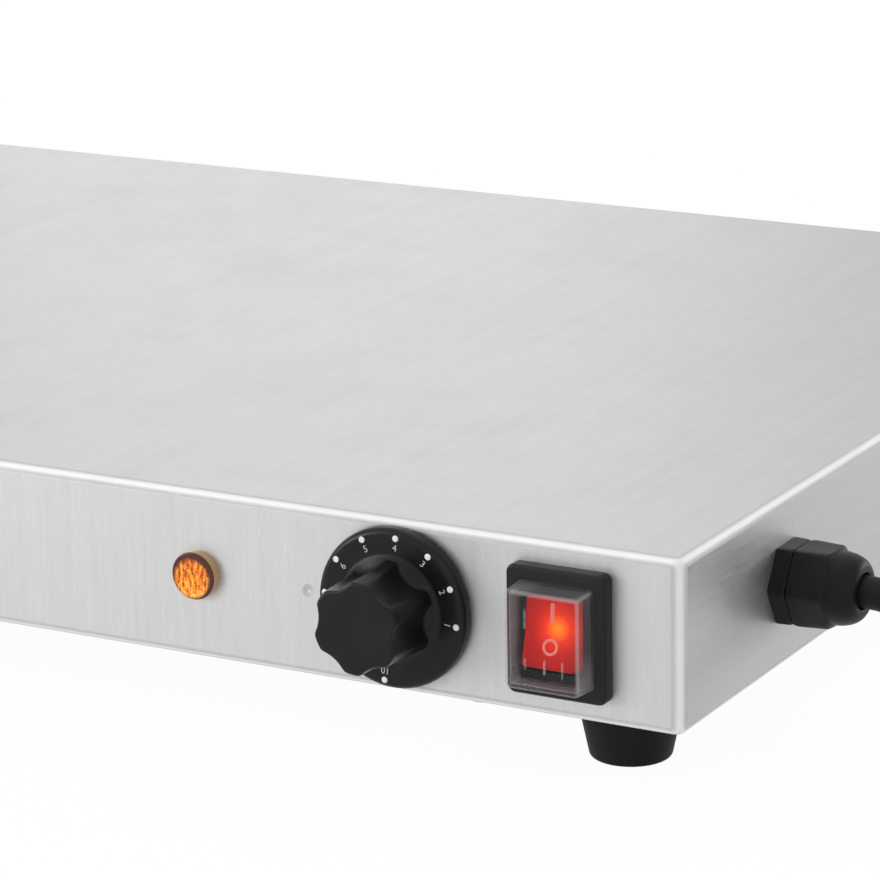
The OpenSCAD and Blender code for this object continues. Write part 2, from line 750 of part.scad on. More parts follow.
// A saddle under the bulb, its feet against the spreading plate
module bulb_clip() color(steel) translate([bulb_x, strip_y, 0]) rotate([90, 0, 90])
    translate([0, 0, -clip_w / 2]) linear_extrude(clip_w) difference() {
        union() {
            translate([0, bulb_z]) circle(bulb_d / 2 + snug + clip_t);
            translate([-bulb_d / 2 - snug - clip_t, bulb_z])
                square([bulb_d + 2 * snug + 2 * clip_t, spreader_z - bulb_z]);
            translate([-bulb_d / 2 - clip_foot, spreader_z - clip_t])
                square([bulb_d + 2 * clip_foot, clip_t]);
        }
        translate([0, bulb_z]) circle(bulb_d / 2 + snug);
        translate([-bulb_d / 2 - snug, bulb_z]) square([bulb_d + 2 * snug, 2 * bulb_d]);
        translate([-2 * bulb_d, spreader_z]) square([4 * bulb_d, 2 * bulb_d]);
    }

cutout_h = 7;
cutout_plate_t = 1;
cutout_plate_l = 26;
cutout_tab_l = 7;
cutout_tab_x = 4.5;

module thermal_cutout() color([0.25, 0.2, 0.18])
    translate([cutout_x, strip_y, spreader_z]) mirror([0, 0, 1]) {
        round_plate(cutout_plate_l, cutout_d - 2, fold_r, cutout_plate_t);
        cylinder(d = cutout_d, h = cutout_h);
        for (s = [-1, 1]) translate([s * cutout_tab_x, 0, cutout_h - cut]) rotate(90)
            tab(cutout_tab_l + cut);
    }

// ---------------------------------------------------------------- dial

grip_l = knob_reach - skirt_gap - skirt_t;
leaf_l = shaft_grip_l - 3;

// Half section of the skirt, its shoulder rounded
module skirt_section() {
    square([skirt_d / 2, skirt_t - skirt_shoulder]);
    square([skirt_d / 2 - skirt_shoulder, skirt_t]);
    translate([skirt_d / 2 - skirt_shoulder, skirt_t - skirt_shoulder]) circle(skirt_shoulder);
}

// The grip narrows to its face. Each hollow is cut by a cylinder that leans less
// than the grip's wall, so it is shallow at the face and deepens towards the skirt.
module grip() difference() {
    rotate_extrude() {
        polygon([[0, 0], [grip_root_d / 2, 0], [grip_face_d / 2, grip_l - grip_edge],
                 [0, grip_l - grip_edge]]);
        translate([0, grip_l - 2 * grip_edge]) square([grip_face_d / 2 - grip_edge, 2 * grip_edge]);
        translate([grip_face_d / 2 - grip_edge, grip_l - grip_edge]) circle(grip_edge);
    }
    far = (grip_root_d + scallop_d) / 2 - scallop_root_depth;
    near = (grip_face_d + scallop_d) / 2 - scallop_face_depth;
    lean = atan((far - near) / grip_l);
    for (k = [0:scallops - 1]) rotate(scallop_start + 360 * k / scallops)
        translate([far, 0, 0]) rotate([0, -lean, 0])
            translate([0, 0, -grip_l]) cylinder(d = scallop_d, h = 3 * grip_l);
}
scallop_start = 54;

module control_knob() color(black) on_front(knob_x) difference() {
    union() {
        difference() {
            translate([0, 0, skirt_gap]) rotate_extrude() skirt_section();
            translate([0, 0, skirt_gap - cut])
                cylinder(d = skirt_d - 2 * skirt_wall, h = skirt_hollow + cut);
        }
        translate([0, 0, skirt_gap]) cylinder(d = hub_d, h = skirt_t);
        translate([0, 0, skirt_gap + skirt_t]) grip();
    }
    translate([0, 0, skirt_gap - cut])
        flatted(shaft_d + 2 * snug, shaft_flat + 2 * snug, shaft_grip_l + cut + snug);
    translate([-leaf_w / 2 - snug, shaft_flat - shaft_d / 2, skirt_gap - cut])
        cube([leaf_w + 2 * snug, leaf_t + 3 * snug, leaf_l + cut + snug]);
}

module knob_leaf_spring() color(steel) on_front(knob_x)
    translate([-leaf_w / 2, shaft_flat - shaft_d / 2 + snug, skirt_gap])
        cube([leaf_w, leaf_t, leaf_l]);

// ---------------------------------------------------------------- rocker switch

rocker_gap = 0.2;
rocker_dish = 1;       // how far the crown's ends stand above its middle
rocker_back = 3;
pocket_depth = 9;
wing_l = 6;
wing_out = 1.2;
wing_w = 10;
switch_tab_l = 8;
switch_tab_pitch = 8;
switch_tabs_at = [-switch_tab_pitch, 0, switch_tab_pitch];

module switch_housing() color(black) on_front(switch_x) difference() {
    union() {
        round_plate(bezel_w, bezel_h, bezel_r, bezel_t);
        translate([0, 0, -switch_depth]) round_plate(switch_w, switch_h, cut, switch_depth);
        // Wings above and below that spring out behind the panel
        for (s = [0, 1]) mirror([0, s, 0]) translate([wing_w / 2, switch_h / 2, -sheet_t - lay])
            rotate([0, -90, 0]) linear_extrude(wing_w)
                polygon([[0, -cut], [0, wing_out], [-wing_l, 0], [-wing_l, -cut]]);
    }
    translate([0, 0, -pocket_depth]) linear_extrude(pocket_depth + bezel_t + cut)
        square([rocker_w + 2 * rocker_gap, 2 * (rocker_r + rocker_gap)], center = true);
    translate([0, 0, pivot_out]) rotate([0, 90, 0])
        translate([0, 0, -rocker_w / 2 - pivot_l - 2 * rocker_gap])
            cylinder(d = pivot_d + 2 * run_clear, h = rocker_w + 2 * pivot_l + 4 * rocker_gap);
    translate([0, 0, bezel_t - groove_depth]) difference() {
        round_plate(cover_w + 2 * snug, cover_h + 2 * snug, cover_r + snug, groove_depth + cut);
        translate([0, 0, -cut])
            round_plate(cover_w - 2 * (cover_t + snug), cover_h - 2 * (cover_t + snug),
                        cover_r - cover_t - snug, groove_depth + 3 * cut);
    }
}

// Section of the rocker in its level place, about the pivot: round ends, dished crown
module rocker_section(r, crown, back) intersection() {
    circle(r);
    polygon([[-r, crown + rocker_dish], [0, crown], [r, crown + rocker_dish], [r, -back], [-r, -back]]);
}

// The rocker stands switched on, with its upper end pressed in
module switch_rocker() color(red) on_front(switch_x) translate([0, 0, pivot_out])
    rotate([-rocker_tilt, 0, 0]) {
        rotate([90, 0, 90]) difference() {
            translate([0, 0, -rocker_w / 2]) linear_extrude(rocker_w)
                rocker_section(rocker_r, rocker_crown, rocker_back);
            translate([0, 0, rocker_wall - rocker_w / 2]) linear_extrude(rocker_w - 2 * rocker_wall)
                rocker_section(rocker_r - rocker_wall, rocker_crown - rocker_wall, rocker_r);
        }
        for (s = [0, 1]) mirror([s, 0, 0]) translate([rocker_w / 2 - rocker_wall, 0, 0])
            rotate([0, 90, 0]) cylinder(d = pivot_d, h = rocker_wall + pivot_l);
    }

neon_d = 3.6;
neon_l = 8;
neon_lead_d = 0.7;

// A small glow lamp inside the rocker, on two leads from the floor of the housing
module switch_neon() color(orange) on_front(switch_x) {
    translate([-neon_l / 2, 0, 0]) rotate([0, 90, 0]) cylinder(d = neon_d, h = neon_l);
    for (s = [-1, 1]) translate([s * neon_l / 4, 0, -pocket_depth])
        cylinder(d = neon_lead_d, h = pocket_depth);
}

// A soft clear box over the rocker, its open side in the frame's groove
module switch_cover() color(clear) on_front(switch_x) translate([0, 0, bezel_t - groove_depth]) {
    h = cover_reach + groove_depth;
    difference() {
        union() {
            round_plate(cover_w, cover_h, cover_r, h - cover_edge);
            round_plate(cover_w - cover_edge, cover_h - cover_edge, cover_r - cover_edge / 2, h);
        }
        translate([0, 0, -cut])
            round_plate(cover_w - 2 * cover_t, cover_h - 2 * cover_t, cover_r - cover_t,
                        h - cover_t + cut);
    }
}
cover_edge = 0.4;

module switch_tabs() color(brass) on_front(switch_x)
    for (y = switch_tabs_at) translate([0, y, -switch_depth - switch_tab_l]) tab(switch_tab_l);

// ---------------------------------------------------------------- pilot lamp

neck_d = 8;
neck_l = 4;
lamp_ring_t = 3;
lamp_tab_l = 6;
lamp_tab_x = 3;
lamp_tab_w = 2.8;

// The lens face is cut by rings of grooves
module lamp_lens() color(orange) on_front(lamp_x) {
    rotate_extrude() difference() {
        square([lens_d / 2, lens_reach]);
        for (r = [lens_pitch:lens_pitch:lens_d / 2 - 2 * lens_groove])
            translate([r, lens_reach]) rotate(45) square(lens_groove * sqrt(2), center = true);
    }
    translate([0, 0, -neck_l]) cylinder(d = neck_d, h = neck_l);
}

module lamp_body() color(ivory) on_front(lamp_x) difference() {
    translate([0, 0, -lamp_l]) cylinder(d = lamp_d, h = lamp_l - lay);
    translate([0, 0, -neck_l - lay]) cylinder(d = neck_d + 2 * snug, h = neck_l + lay + cut);
}

module lamp_ring() color(black) on_front(lamp_x) translate([0, 0, -sheet_t - lamp_ring_t])
    ring(lamp_ring_d, lamp_d + 2 * snug, lamp_ring_t);

module lamp_tabs() color(brass) on_front(lamp_x)
    for (s = [-1, 1]) translate([s * lamp_tab_x - tab_t / 2, -lamp_tab_w / 2, -lamp_l - lamp_tab_l])
        cube([tab_t, lamp_tab_w, lamp_tab_l]);

// ---------------------------------------------------------------- wiring

block_y = front_y + block_from_front;
block_screw_d = 3;
block_screw_l = 12;
block_head_d = 5.4;
block_head_h = 2;
port_z = floor_z + 8.5;
rib_h = 3;
earth_x = 140;
earth_stud_l = 12;
lug_d = 9;
lug_t = 1;

// A three-way block: a low foot with one raised barrel for each way
module terminal_block() color(ivory) translate([block_x, block_y, floor_z]) difference() {
    union() {
        translate([-block_w / 2, -block_d / 2, 0]) cube([block_w, block_d, block_h - rib_h]);
        for (i = [-1:1]) translate([i * way_pitch, block_d / 2, block_h - way_pitch / 2 + 1])
            rotate([90, 0, 0]) cylinder(d = way_pitch - 2, h = block_d);
    }
    for (s = [-1, 1]) translate([s * way_pitch / 2, 0, -cut]) {
        cylinder(d = block_screw_d + 2 * snug, h = block_h + 2 * cut);
        translate([0, 0, block_screw_l + cut - block_head_h])
            cylinder(d = block_head_d + 2 * snug, h = block_h);
    }
}

module block_screws() color(zinc) translate([block_x, block_y, floor_z])
    for (s = [-1, 1]) translate([s * way_pitch / 2, 0, block_screw_l - block_head_h])
        mirror([0, 0, 1])
            screw(block_head_d, block_head_h, block_screw_d, block_screw_l - block_head_h);

// A stud on the base plate with the earth wire's lug and its nut
module earth_stud() color(brass) translate([earth_x, earth_y, floor_z]) {
    cylinder(d = stud_d, h = earth_stud_l);
    translate([0, 0, lug_t + lay]) nut(stud_nut_af, stud_d + 2 * snug, stud_nut_t);
    ring(lug_d, stud_d + 2 * snug, lug_t);
}

// Where each wire ends
way = function(i, side) [block_x + i * way_pitch, block_y + side * block_d / 2, port_z];
switch_tip = function(i) [switch_x, front_y + switch_depth + switch_tab_l, control_z + switch_tabs_at[i]];
stat_tip = function(s) [knob_x + s * stat_tab_x, front_y + stat_back + stat_tab_l, control_z - stat_tab_x];
cutout_tip = function(s) [cutout_x + s * cutout_tab_x, strip_y, spreader_z - cutout_h - cutout_tab_l];
element_tip = function(k) [tray_x + element_tail + bead_l + stem_l, run_y(k), element_z];
lamp_tip = function(s) [lamp_x + s * lamp_tab_x, front_y + lamp_l + lamp_tab_l, control_z];

wire_z = floor_z + wire_d / 2 + snug;  // wires that lie along the base
over_z = wire_z + wire_d + free;       // a wire that crosses over them
lane_y = front_y + flange_w + wire_d;  // lane of the wires between the flange and the block
earth_y = lane_y + wire_d + lug_d / 2 + free;
rise_x = tray_x + 2;                   // where a wire turns up to the element
port_reach = 8;                        // reach of a wire's curve next to what it meets
small_bend = 12;                       // reach of its short curves
wide_bend = 60;                        // reach of its wide ones
last_run = element_runs - 1;

module wire(path) tube(path, wire_d, 6);

module live_wires() color([0.42, 0.24, 0.14]) {
    // Block to the switch, under the thermostat
    wire(concat(
        run(way(-1, -1), [0, -port_reach, 0], [block_x + way_pitch, lane_y, wire_z], [small_bend, 0, 0], 6),
        run([knob_x, lane_y, wire_z], [wide_bend, 0, 0], switch_tip(0), [0, -2 * small_bend, 0], 10)));
    // Switch to the thermostat
    wire(run(switch_tip(1), [0, small_bend, 0], stat_tip(1), [0, -small_bend, 0], 8));
    // Thermostat to the cut-out
    wire(run(stat_tip(-1), [0, small_bend, 0], cutout_tip(1), [0, 0, 2 * small_bend], 12));
    // Cut-out to the element's first run, along the base and up at the right side
    wire(concat(
        run(cutout_tip(-1), [0, 0, -small_bend], [0, tray_front, wire_z], [0, small_bend, 0], 8),
        run([0, run_y(0) - 2 * small_bend, wire_z], [0, small_bend, 0],
            [2 * small_bend, run_y(0), wire_z], [small_bend, 0, 0], 6),
        run([rise_x, run_y(0), wire_z], [small_bend, 0, 0], element_tip(0), [-port_reach, 0, 0], 8)));
}

module neutral_wires() color([0.12, 0.3, 0.62]) {
    // Block to the lamp
    wire(run(way(0, -1), [0, -small_bend, 0], lamp_tip(-1), [0, -2 * port_reach, 0], 8));
    // Lamp to the element's last run, under the jacket and over the live wire
    x = lamp_x + small_bend;
    wire(concat(
        run(lamp_tip(1), [0, small_bend, 0], [x, tail_y - port_reach, wire_z], [0, small_bend, 0], 8),
        [[x, tail_y + port_reach, wire_z]],
        run([x, run_y(0) - small_bend, over_z], [0, wide_bend, 0],
            [tray_x - wide_bend, run_y(last_run), over_z], [wide_bend, 0, 0], 8),
        run([rise_x, run_y(last_run), over_z], [small_bend, 0, 0],
            element_tip(last_run), [-port_reach, 0, 0], 8)));
}

module earth_wire() color([0.45, 0.6, 0.16])
    wire(run(way(1, -1), [0, -port_reach, 0], [earth_x - lug_d / 2, earth_y, wire_z],
             [port_reach, 0, 0], 8));

// The cord's jacket from the casing's side to the block, and its three cores
tail_gap = 6;                          // from the block to the jacket
tail_bend = 32;                        // reach of the jacket's curves
tail_turn = 70;                        // how far inside the casing it lies straight
tail_y = block_y + block_d / 2 + tail_gap;
tail_z = wire_z + wire_d / 2 + free + cord_d / 2;
tail_x = block_x + 40;
tail_cores = [[0.42, 0.24, 0.14], [0.12, 0.3, 0.62], [0.45, 0.6, 0.16]];

module mains_tail() {
    wall = [side_x, gland_y, control_z];
    inner = wall - [small_bend, 0, 0];
    turned = [side_x - tail_turn, tail_y, tail_z];
    end = [tail_x, tail_y, tail_z];
    color(black)
        tube(concat([wall], curve(inner, [-tail_bend, 0, 0], turned, [-tail_bend, 0, 0], 12),
                    [end]), cord_d, 10);
    for (i = [-1:1]) color(tail_cores[i + 1])
        tube(concat([end], run(end + [0, 0, -i * wire_d / 2], [-port_reach, 0, 0],
                             way(i, 1), [0, -tail_gap, 0], 8)),
             wire_d, 6);
}

// ---------------------------------------------------------------- gland

seal_l = 7;
neck_wall = 1.4;
// How the hexagons' corners are turned off, as shares of the width across their flats
flange_trim = [1.2, 1.08];
nut_trim = [1.12, 1.06];
dome_start = gland_flange_t + gland_hex_l;

module hexagon(af, h) rotate(30) cylinder(d = af / cos(30), h = h, $fn = 6);

module gland_body() color(black) on_right() difference() {
    union() {
        intersection() {
            hexagon(gland_af, gland_flange_t);
            cylinder(d1 = gland_af * flange_trim[0], d2 = gland_af * flange_trim[1], h = gland_flange_t);
        }
        translate([0, 0, -sheet_t - lock_nut_t - stud_end])
            cylinder(d = gland_thread_d, h = dome_start + sheet_t + lock_nut_t + stud_end - lay);
    }
    translate([0, 0, -gland_reach]) cylinder(d = cord_d + 2 * snug, h = 2 * gland_reach);
    translate([0, 0, dome_start - seal_l])
        cylinder(d = gland_thread_d - 2 * neck_wall, h = seal_l + cut);
}

module gland_lock_nut() color(black) on_right() translate([0, 0, -sheet_t - lock_nut_t])
    rotate(30) nut(gland_af, gland_thread_d + 2 * snug, lock_nut_t);

module gland_seal() color([0.2, 0.2, 0.2]) on_right() translate([0, 0, dome_start - seal_l + lay])
    ring(gland_thread_d - 2 * neck_wall - 2 * snug, cord_d + 2 * snug, seal_l - 2 * lay);

// Half section of the dome nut: a hexagon's length, then a round dome
module dome_section() {
    l = gland_reach - dome_start;
    translate([0, gland_flange_t + lay]) square([gland_af, gland_hex_l - lay]);
    translate([0, dome_start]) intersection() {
        translate([gland_rim_d / 2, 0]) circle(l);
        square([gland_af, l]);
    }
    translate([0, dome_start]) square([gland_rim_d / 2, l]);
}

module gland_dome_nut() color(black) on_right() difference() {
    intersection() {
        rotate_extrude() dome_section();
        hexagon(gland_af, gland_reach);
        translate([0, 0, gland_flange_t + lay])
            cylinder(d1 = gland_af * nut_trim[0], d2 = gland_af * nut_trim[1], h = gland_reach);
    }
    translate([0, 0, gland_flange_t]) cylinder(d = gland_thread_d + 2 * snug, h = gland_hex_l);
    cylinder(d = cord_d + 2 * snug, h = 2 * gland_reach);
}

// ---------------------------------------------------------------- supply cord

lead_in = 9;           // the straight piece at each end of the coil
tie_clear = 0.9;       // between the strap and the curving turns
lift = 1.1;            // the cord lies on the strap, just clear of the table
coil_x = 446;
coil_y = gland_y + coil_r;
coil_z = lift + cord_d / 2;
plug_x = coil_x + coil_r;
plug_z = plug_d / 2 + snug;
plug_y = 34;

// Out through the gland, down to the table and along it to the coil
cord_route = concat(
    [[side_x, gland_y, control_z], [side_x + gland_reach, gland_y, control_z]],
    [[330, -103, 39.6], [340, -103, 36.6], [352, -103, 31.4], [364, -103, 25.4],
     [376, -103, 19.6], [390, -103, 13.6], [406, -103, 8.4], [422, -103, 5.8]],
    [[coil_x - lead_in, coil_y - coil_r, coil_z]]);

// From the coil's upper layer to the plug
lead_route = concat(
    [[plug_x, coil_y + lead_in, coil_z + coil_rise]],
    [[504, -22, 14.8], [504, -8, 15.7], [504, 6, 17.3], [504, 20, 18.5]],
    [[plug_x, plug_y, plug_z]]);

// The coil winds in on the table, climbs a layer where it turns back, and winds out
coil_mid = coil_turns / 2;
coil_radius = function(u) coil_r - coil_pitch * (coil_mid - abs(u - coil_mid));
coil_height = function(u) coil_z + coil_rise * min(1, max(0, 2 * (u - coil_mid) + 0.5));
coil_point = function(u) let (a = 360 * u - 90)
    [coil_x + coil_radius(u) * cos(a), coil_y + coil_radius(u) * sin(a), coil_height(u)];
rings_a_turn = 24;
coil_route = concat(
    [[coil_x - lead_in, coil_y - coil_r, coil_z]],
    [for (i = [0:coil_turns * rings_a_turn]) coil_point(i / rings_a_turn)],
    [[plug_x, coil_y + lead_in, coil_z + coil_rise]]);

// Least gap of the coil to itself, between points more than half a turn apart
gap_step = 1 / 48;
coil_gap = min([for (u = [0:gap_step:coil_turns], v = [u + 0.5:gap_step:coil_turns])
    norm(coil_point(u) - coil_point(v))]) - cord_d;
cord_length = length_of(cord_route) + length_of(coil_route) + length_of(lead_route);
echo(coil_gap = coil_gap, cord_length = cord_length, coil_length = length_of(coil_route));

module supply_cord() color(black) tube(cord_route, cord_d, 10);
module cord_coil() color(black) tube(coil_route, cord_d, 6);
module plug_lead() color(black) tube(lead_route, cord_d, 10);

// A strap round the coil's turns where they lie furthest back
module cord_tie() color([0.16, 0.16, 0.17]) {
    back = [for (u = [0.5:1:coil_turns]) coil_radius(u)];
    inner = min(back) - cord_d / 2 - tie_clear;
    outer = max(back) + cord_d / 2 + tie_clear;
    low = tie_t + snug;
    high = coil_z + coil_rise + cord_d / 2 + snug;
    translate([coil_x - tie_w / 2, coil_y + (inner + outer) / 2, (low + high) / 2])
        rotate([90, 0, 90]) difference() {
            round_plate(outer - inner + 2 * tie_t, high - low + 2 * tie_t, fold_r + tie_t, tie_w);
            translate([0, 0, -cut]) round_plate(outer - inner, high - low, fold_r, tie_w + 2 * cut);
        }
}

// ---------------------------------------------------------------- plug

collar_l = 12;
waist_d = 24;
sleeve_d = 16;
sleeve_end_d = 11.5;
rib_w = 1.6;
rib_out = 1.2;
notch_w = 6;
notch_d = 3.4;
clip_strip_t = 0.8;
face_edge = 1.2;

// Puts a part on the plug's axis: its Z runs from the cord to the pins.
module on_plug() translate([plug_x, plug_y, plug_z]) rotate([-90, 0, 0]) children();

// Half section: a ribbed tapering cord sleeve, a waist and a round collar
module plug_section() {
    front = sleeve_l + plug_l;
    polygon([[0, 0], [sleeve_end_d / 2, 0], [sleeve_d / 2, sleeve_l], [waist_d / 2, sleeve_l + face_edge],
             [plug_d / 2 - face_edge, front - collar_l], [plug_d / 2, front - collar_l + face_edge],
             [plug_d / 2, front - face_edge], [plug_d / 2 - face_edge, front], [0, front]]);
    for (i = [1:sleeve_ribs]) let (z = sleeve_l * i / (sleeve_ribs + 1))
        translate([0, z - rib_w / 2])
            square([(sleeve_end_d + (sleeve_d - sleeve_end_d) * z / sleeve_l) / 2 + rib_out, rib_w]);
}

module plug_body() color(black) on_plug() difference() {
    rotate_extrude() plug_section();
    front = sleeve_l + plug_l;
    // Grooves at both sides for the socket's guides, and above and below for the earth strips
    for (a = [0, 90, 180, 270]) rotate(a)
        translate([plug_d / 2 - notch_d, -notch_w / 2, front - collar_l - cut])
            cube([2 * notch_d, notch_w, collar_l + 2 * cut]);
    for (s = [-1, 1]) translate([s * pin_pitch / 2, 0, front - pin_root])
        cylinder(d = pin_root_d + 2 * snug, h = pin_root + cut);
}
pin_root = 8;
pin_root_d = 4;

// Each pin has a thinner root in the body and a round tip
module plug_pins() color([0.82, 0.82, 0.8]) on_plug()
    for (s = [-1, 1]) translate([s * pin_pitch / 2, 0, sleeve_l + plug_l]) {
        translate([0, 0, -pin_root]) cylinder(d = pin_root_d, h = pin_root + cut);
        translate([0, 0, lay]) cylinder(d = pin_d, h = pin_l - lay - pin_d / 2);
        translate([0, 0, pin_l - pin_d / 2]) intersection() {
            sphere(d = pin_d);
            cylinder(d = pin_d, h = pin_d);
        }
    }

// Bare strips in the upper and lower grooves
module plug_earth_clips() color([0.8, 0.8, 0.78]) on_plug() for (a = [90, 270]) rotate(a)
    translate([plug_d / 2 - notch_d + lay, -notch_w / 2 + lay, sleeve_l + plug_l - collar_l])
        cube([clip_strip_t, notch_w - 2 * lay, collar_l]);

// ---------------------------------------------------------------- assembly

top_shell();
base_plate();
base_screws();
foot(-1, -1);  // foot_front_left
foot(1, -1);  // foot_front_right
foot(-1, 1);  // foot_rear_left
foot(1, 1);  // foot_rear_right
foot_screws();
foot_washers();
foot_nuts();
spreader_plate();
heating_element();
element_terminals();
clamp_bars();
clamp_nuts();
insulating_mat();
heater_tray();
tray_nuts();
thermostat_body();
thermostat_screws();
thermostat_shaft();
capillary_bulb();
bulb_clip();
thermal_cutout();
control_knob();
knob_leaf_spring();
switch_housing();
switch_rocker();
switch_neon();
switch_cover();
switch_tabs();
lamp_lens();
lamp_body();
lamp_ring();
lamp_tabs();
terminal_block();
block_screws();
earth_stud();
live_wires();
neutral_wires();
earth_wire();
mains_tail();
gland_body();
gland_lock_nut();
gland_seal();
gland_dome_nut();
supply_cord();
cord_coil();
plug_lead();
cord_tie();
plug_body();
plug_pins();
plug_earth_clips();
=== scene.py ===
"""Electric food warmer tray: a brushed steel hot plate with a dial, a lit rocker switch and a pilot lamp.

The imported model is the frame. Each class below makes and dresses one sub-assembly of the tray.
Surfaces are worked out in millimetres in their own axes, and then placed in metres in the frame.
"""

import logging
import math
from dataclasses import dataclass
from enum import Enum
from typing import Optional, Sequence

import bmesh
import bpy
import numpy as np
from mathutils import Matrix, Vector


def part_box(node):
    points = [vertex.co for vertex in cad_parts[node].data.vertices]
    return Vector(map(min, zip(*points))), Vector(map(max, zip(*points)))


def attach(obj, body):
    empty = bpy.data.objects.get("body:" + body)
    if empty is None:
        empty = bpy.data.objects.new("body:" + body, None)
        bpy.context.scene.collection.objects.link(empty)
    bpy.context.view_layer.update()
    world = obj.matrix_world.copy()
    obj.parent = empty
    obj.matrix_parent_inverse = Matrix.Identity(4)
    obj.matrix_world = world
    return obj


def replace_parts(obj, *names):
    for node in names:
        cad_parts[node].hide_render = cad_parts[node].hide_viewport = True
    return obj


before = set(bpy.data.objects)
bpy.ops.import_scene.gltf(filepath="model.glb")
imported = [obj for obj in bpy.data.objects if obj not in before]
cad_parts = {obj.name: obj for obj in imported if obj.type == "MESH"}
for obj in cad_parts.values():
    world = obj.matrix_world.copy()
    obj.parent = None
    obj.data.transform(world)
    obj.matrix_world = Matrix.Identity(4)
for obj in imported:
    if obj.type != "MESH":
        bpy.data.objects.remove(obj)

LOG = logging.getLogger("warmer_tray")
MM = 0.001
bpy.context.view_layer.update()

Point = tuple[float, float, float]
Colour = tuple[float, float, float]
Rgba = tuple[float, float, float, float]
Pair = tuple[float, float]
Socket = bpy.types.NodeSocket

# Half of a corner's angle, in radians, from which the corner counts as straight.
STRAIGHT = 1.55
# The share of a side that the arc at its end may take.
ARC_SHARE = 0.49
# The least radius of a turned surface and of a rectangle's corner: their points merge into one.
LEAST_RADIUS = 1e-3
LEAST_CORNER_SHARE = 1e-4
# Points closer than this, in metres, are merged.
MERGE = 2e-6
# The values that most of a noise lies between.
NOISE_RANGE = (0.3, 0.7)
# How far a wave texture's bands lie apart at a scale of 1.
WAVE_REPEAT = 0.314
# The height of a figure as a share of its font's size.
FIGURE_SHARE = 0.7


# ------------------------------------------------------------------ places


@dataclass(frozen=True)
class Axes:
    """A place in the tray's frame and three directions there, for a piece worked out in its own axes."""

    origin: Point = (0.0, 0.0, 0.0)
    x: Point = (1.0, 0.0, 0.0)
    y: Point = (0.0, 1.0, 0.0)
    z: Point = (0.0, 0.0, 1.0)

    def place(self, points: np.ndarray) -> np.ndarray:
        """Moves points from the piece's own axes into the tray's frame.

        Args:
            points: Points in millimetres, one per row.

        Returns:
            The same points in metres: origin + x * X + y * Y + z * Z.
        """
        return np.asarray(self.origin) + MM * points @ np.array([self.x, self.y, self.z])


def centre_of(node: str) -> np.ndarray:
    """The middle of a CAD node's box, in metres."""
    low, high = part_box(node)
    return (np.array(low) + np.array(high)) / 2


def front_axes(node: str) -> Axes:
    """Axes on the front panel at a node's middle: X right, Y up, Z out of the panel."""
    middle = centre_of(node)
    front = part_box("top_shell")[0].y
    return Axes((middle[0], front, middle[2]), (1, 0, 0), (0, 0, 1), (0, -1, 0))


def side_axes(node: str) -> Axes:
    """Axes on the right side at a node's middle: X back, Y up, Z out of the side."""
    middle = centre_of(node)
    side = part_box("top_shell")[1].x
    return Axes((side, middle[1], middle[2]), (0, 1, 0), (0, 0, 1), (1, 0, 0))


# ------------------------------------------------------------------ outlines


def rounded(points: Sequence[Sequence[float]], radii: Sequence[float], steps: int = 6) -> np.ndarray:
    """Rounds the corners of an open outline with arcs that touch both neighbours.

    Args:
        points: The outline's corners, first to last.
        radii: One radius for each corner between the first and the last point.
        steps: Chords in each arc.

    Returns:
        The outline's points, one per row.
    """
    corners = np.asarray(points, float)
    out = [corners[:1]]
    for before, corner, after, radius in zip(corners[:-2], corners[1:-1], corners[2:], radii):
        a, b = before - corner, after - corner
        length_a, length_b = np.linalg.norm(a), np.linalg.norm(b)
        a, b = a / length_a, b / length_b
        half = 0.5 * math.acos(float(np.clip(a @ b, -1, 1)))
        if radius <= 0 or half > STRAIGHT:
            out.append(corner[None])
            continue
        cut = min(radius / math.tan(half), ARC_SHARE * length_a, ARC_SHARE * length_b)
        radius = cut * math.tan(half)
        centre = corner + (a + b) / np.linalg.norm(a + b) * radius / math.sin(half)
        spoke_a, spoke_b = corner + a * cut - centre, corner + b * cut - centre
        sweep = math.acos(float(np.clip(spoke_a @ spoke_b / radius**2, -1, 1)))
        t = np.linspace(0, 1, steps + 1)[:, None]
        arc = np.sin((1 - t) * sweep) * spoke_a + np.sin(t * sweep) * spoke_b
        out.append(centre + arc / math.sin(sweep))
    out.append(corners[-1:])
    return np.vstack(out)


def finer(outline: np.ndarray, step: float) -> np.ndarray:
    """Adds points to an outline, so that none of its chords is longer than a step.

    Args:
        outline: Points, one per row.
        step: The longest chord, in the outline's unit.

    Returns:
        The outline with its own points kept.
    """
    chords = np.linalg.norm(np.diff(outline, axis=0), axis=1)
    counts = np.maximum(1, np.ceil(chords / step).astype(int))
    parts = [np.linspace(a, b, n, endpoint=False) for a, b, n in zip(outline[:-1], outline[1:], counts)]
    return np.vstack(parts + [outline[-1:]])


def angles(count: int) -> np.ndarray:
    """Equal angles round a circle, in radians."""
    return np.linspace(0, 2 * np.pi, count, endpoint=False)


def circle(count: int) -> np.ndarray:
    """Unit vectors round a circle, one per row."""
    return np.stack([np.cos(angles(count)), np.sin(angles(count))], axis=1)


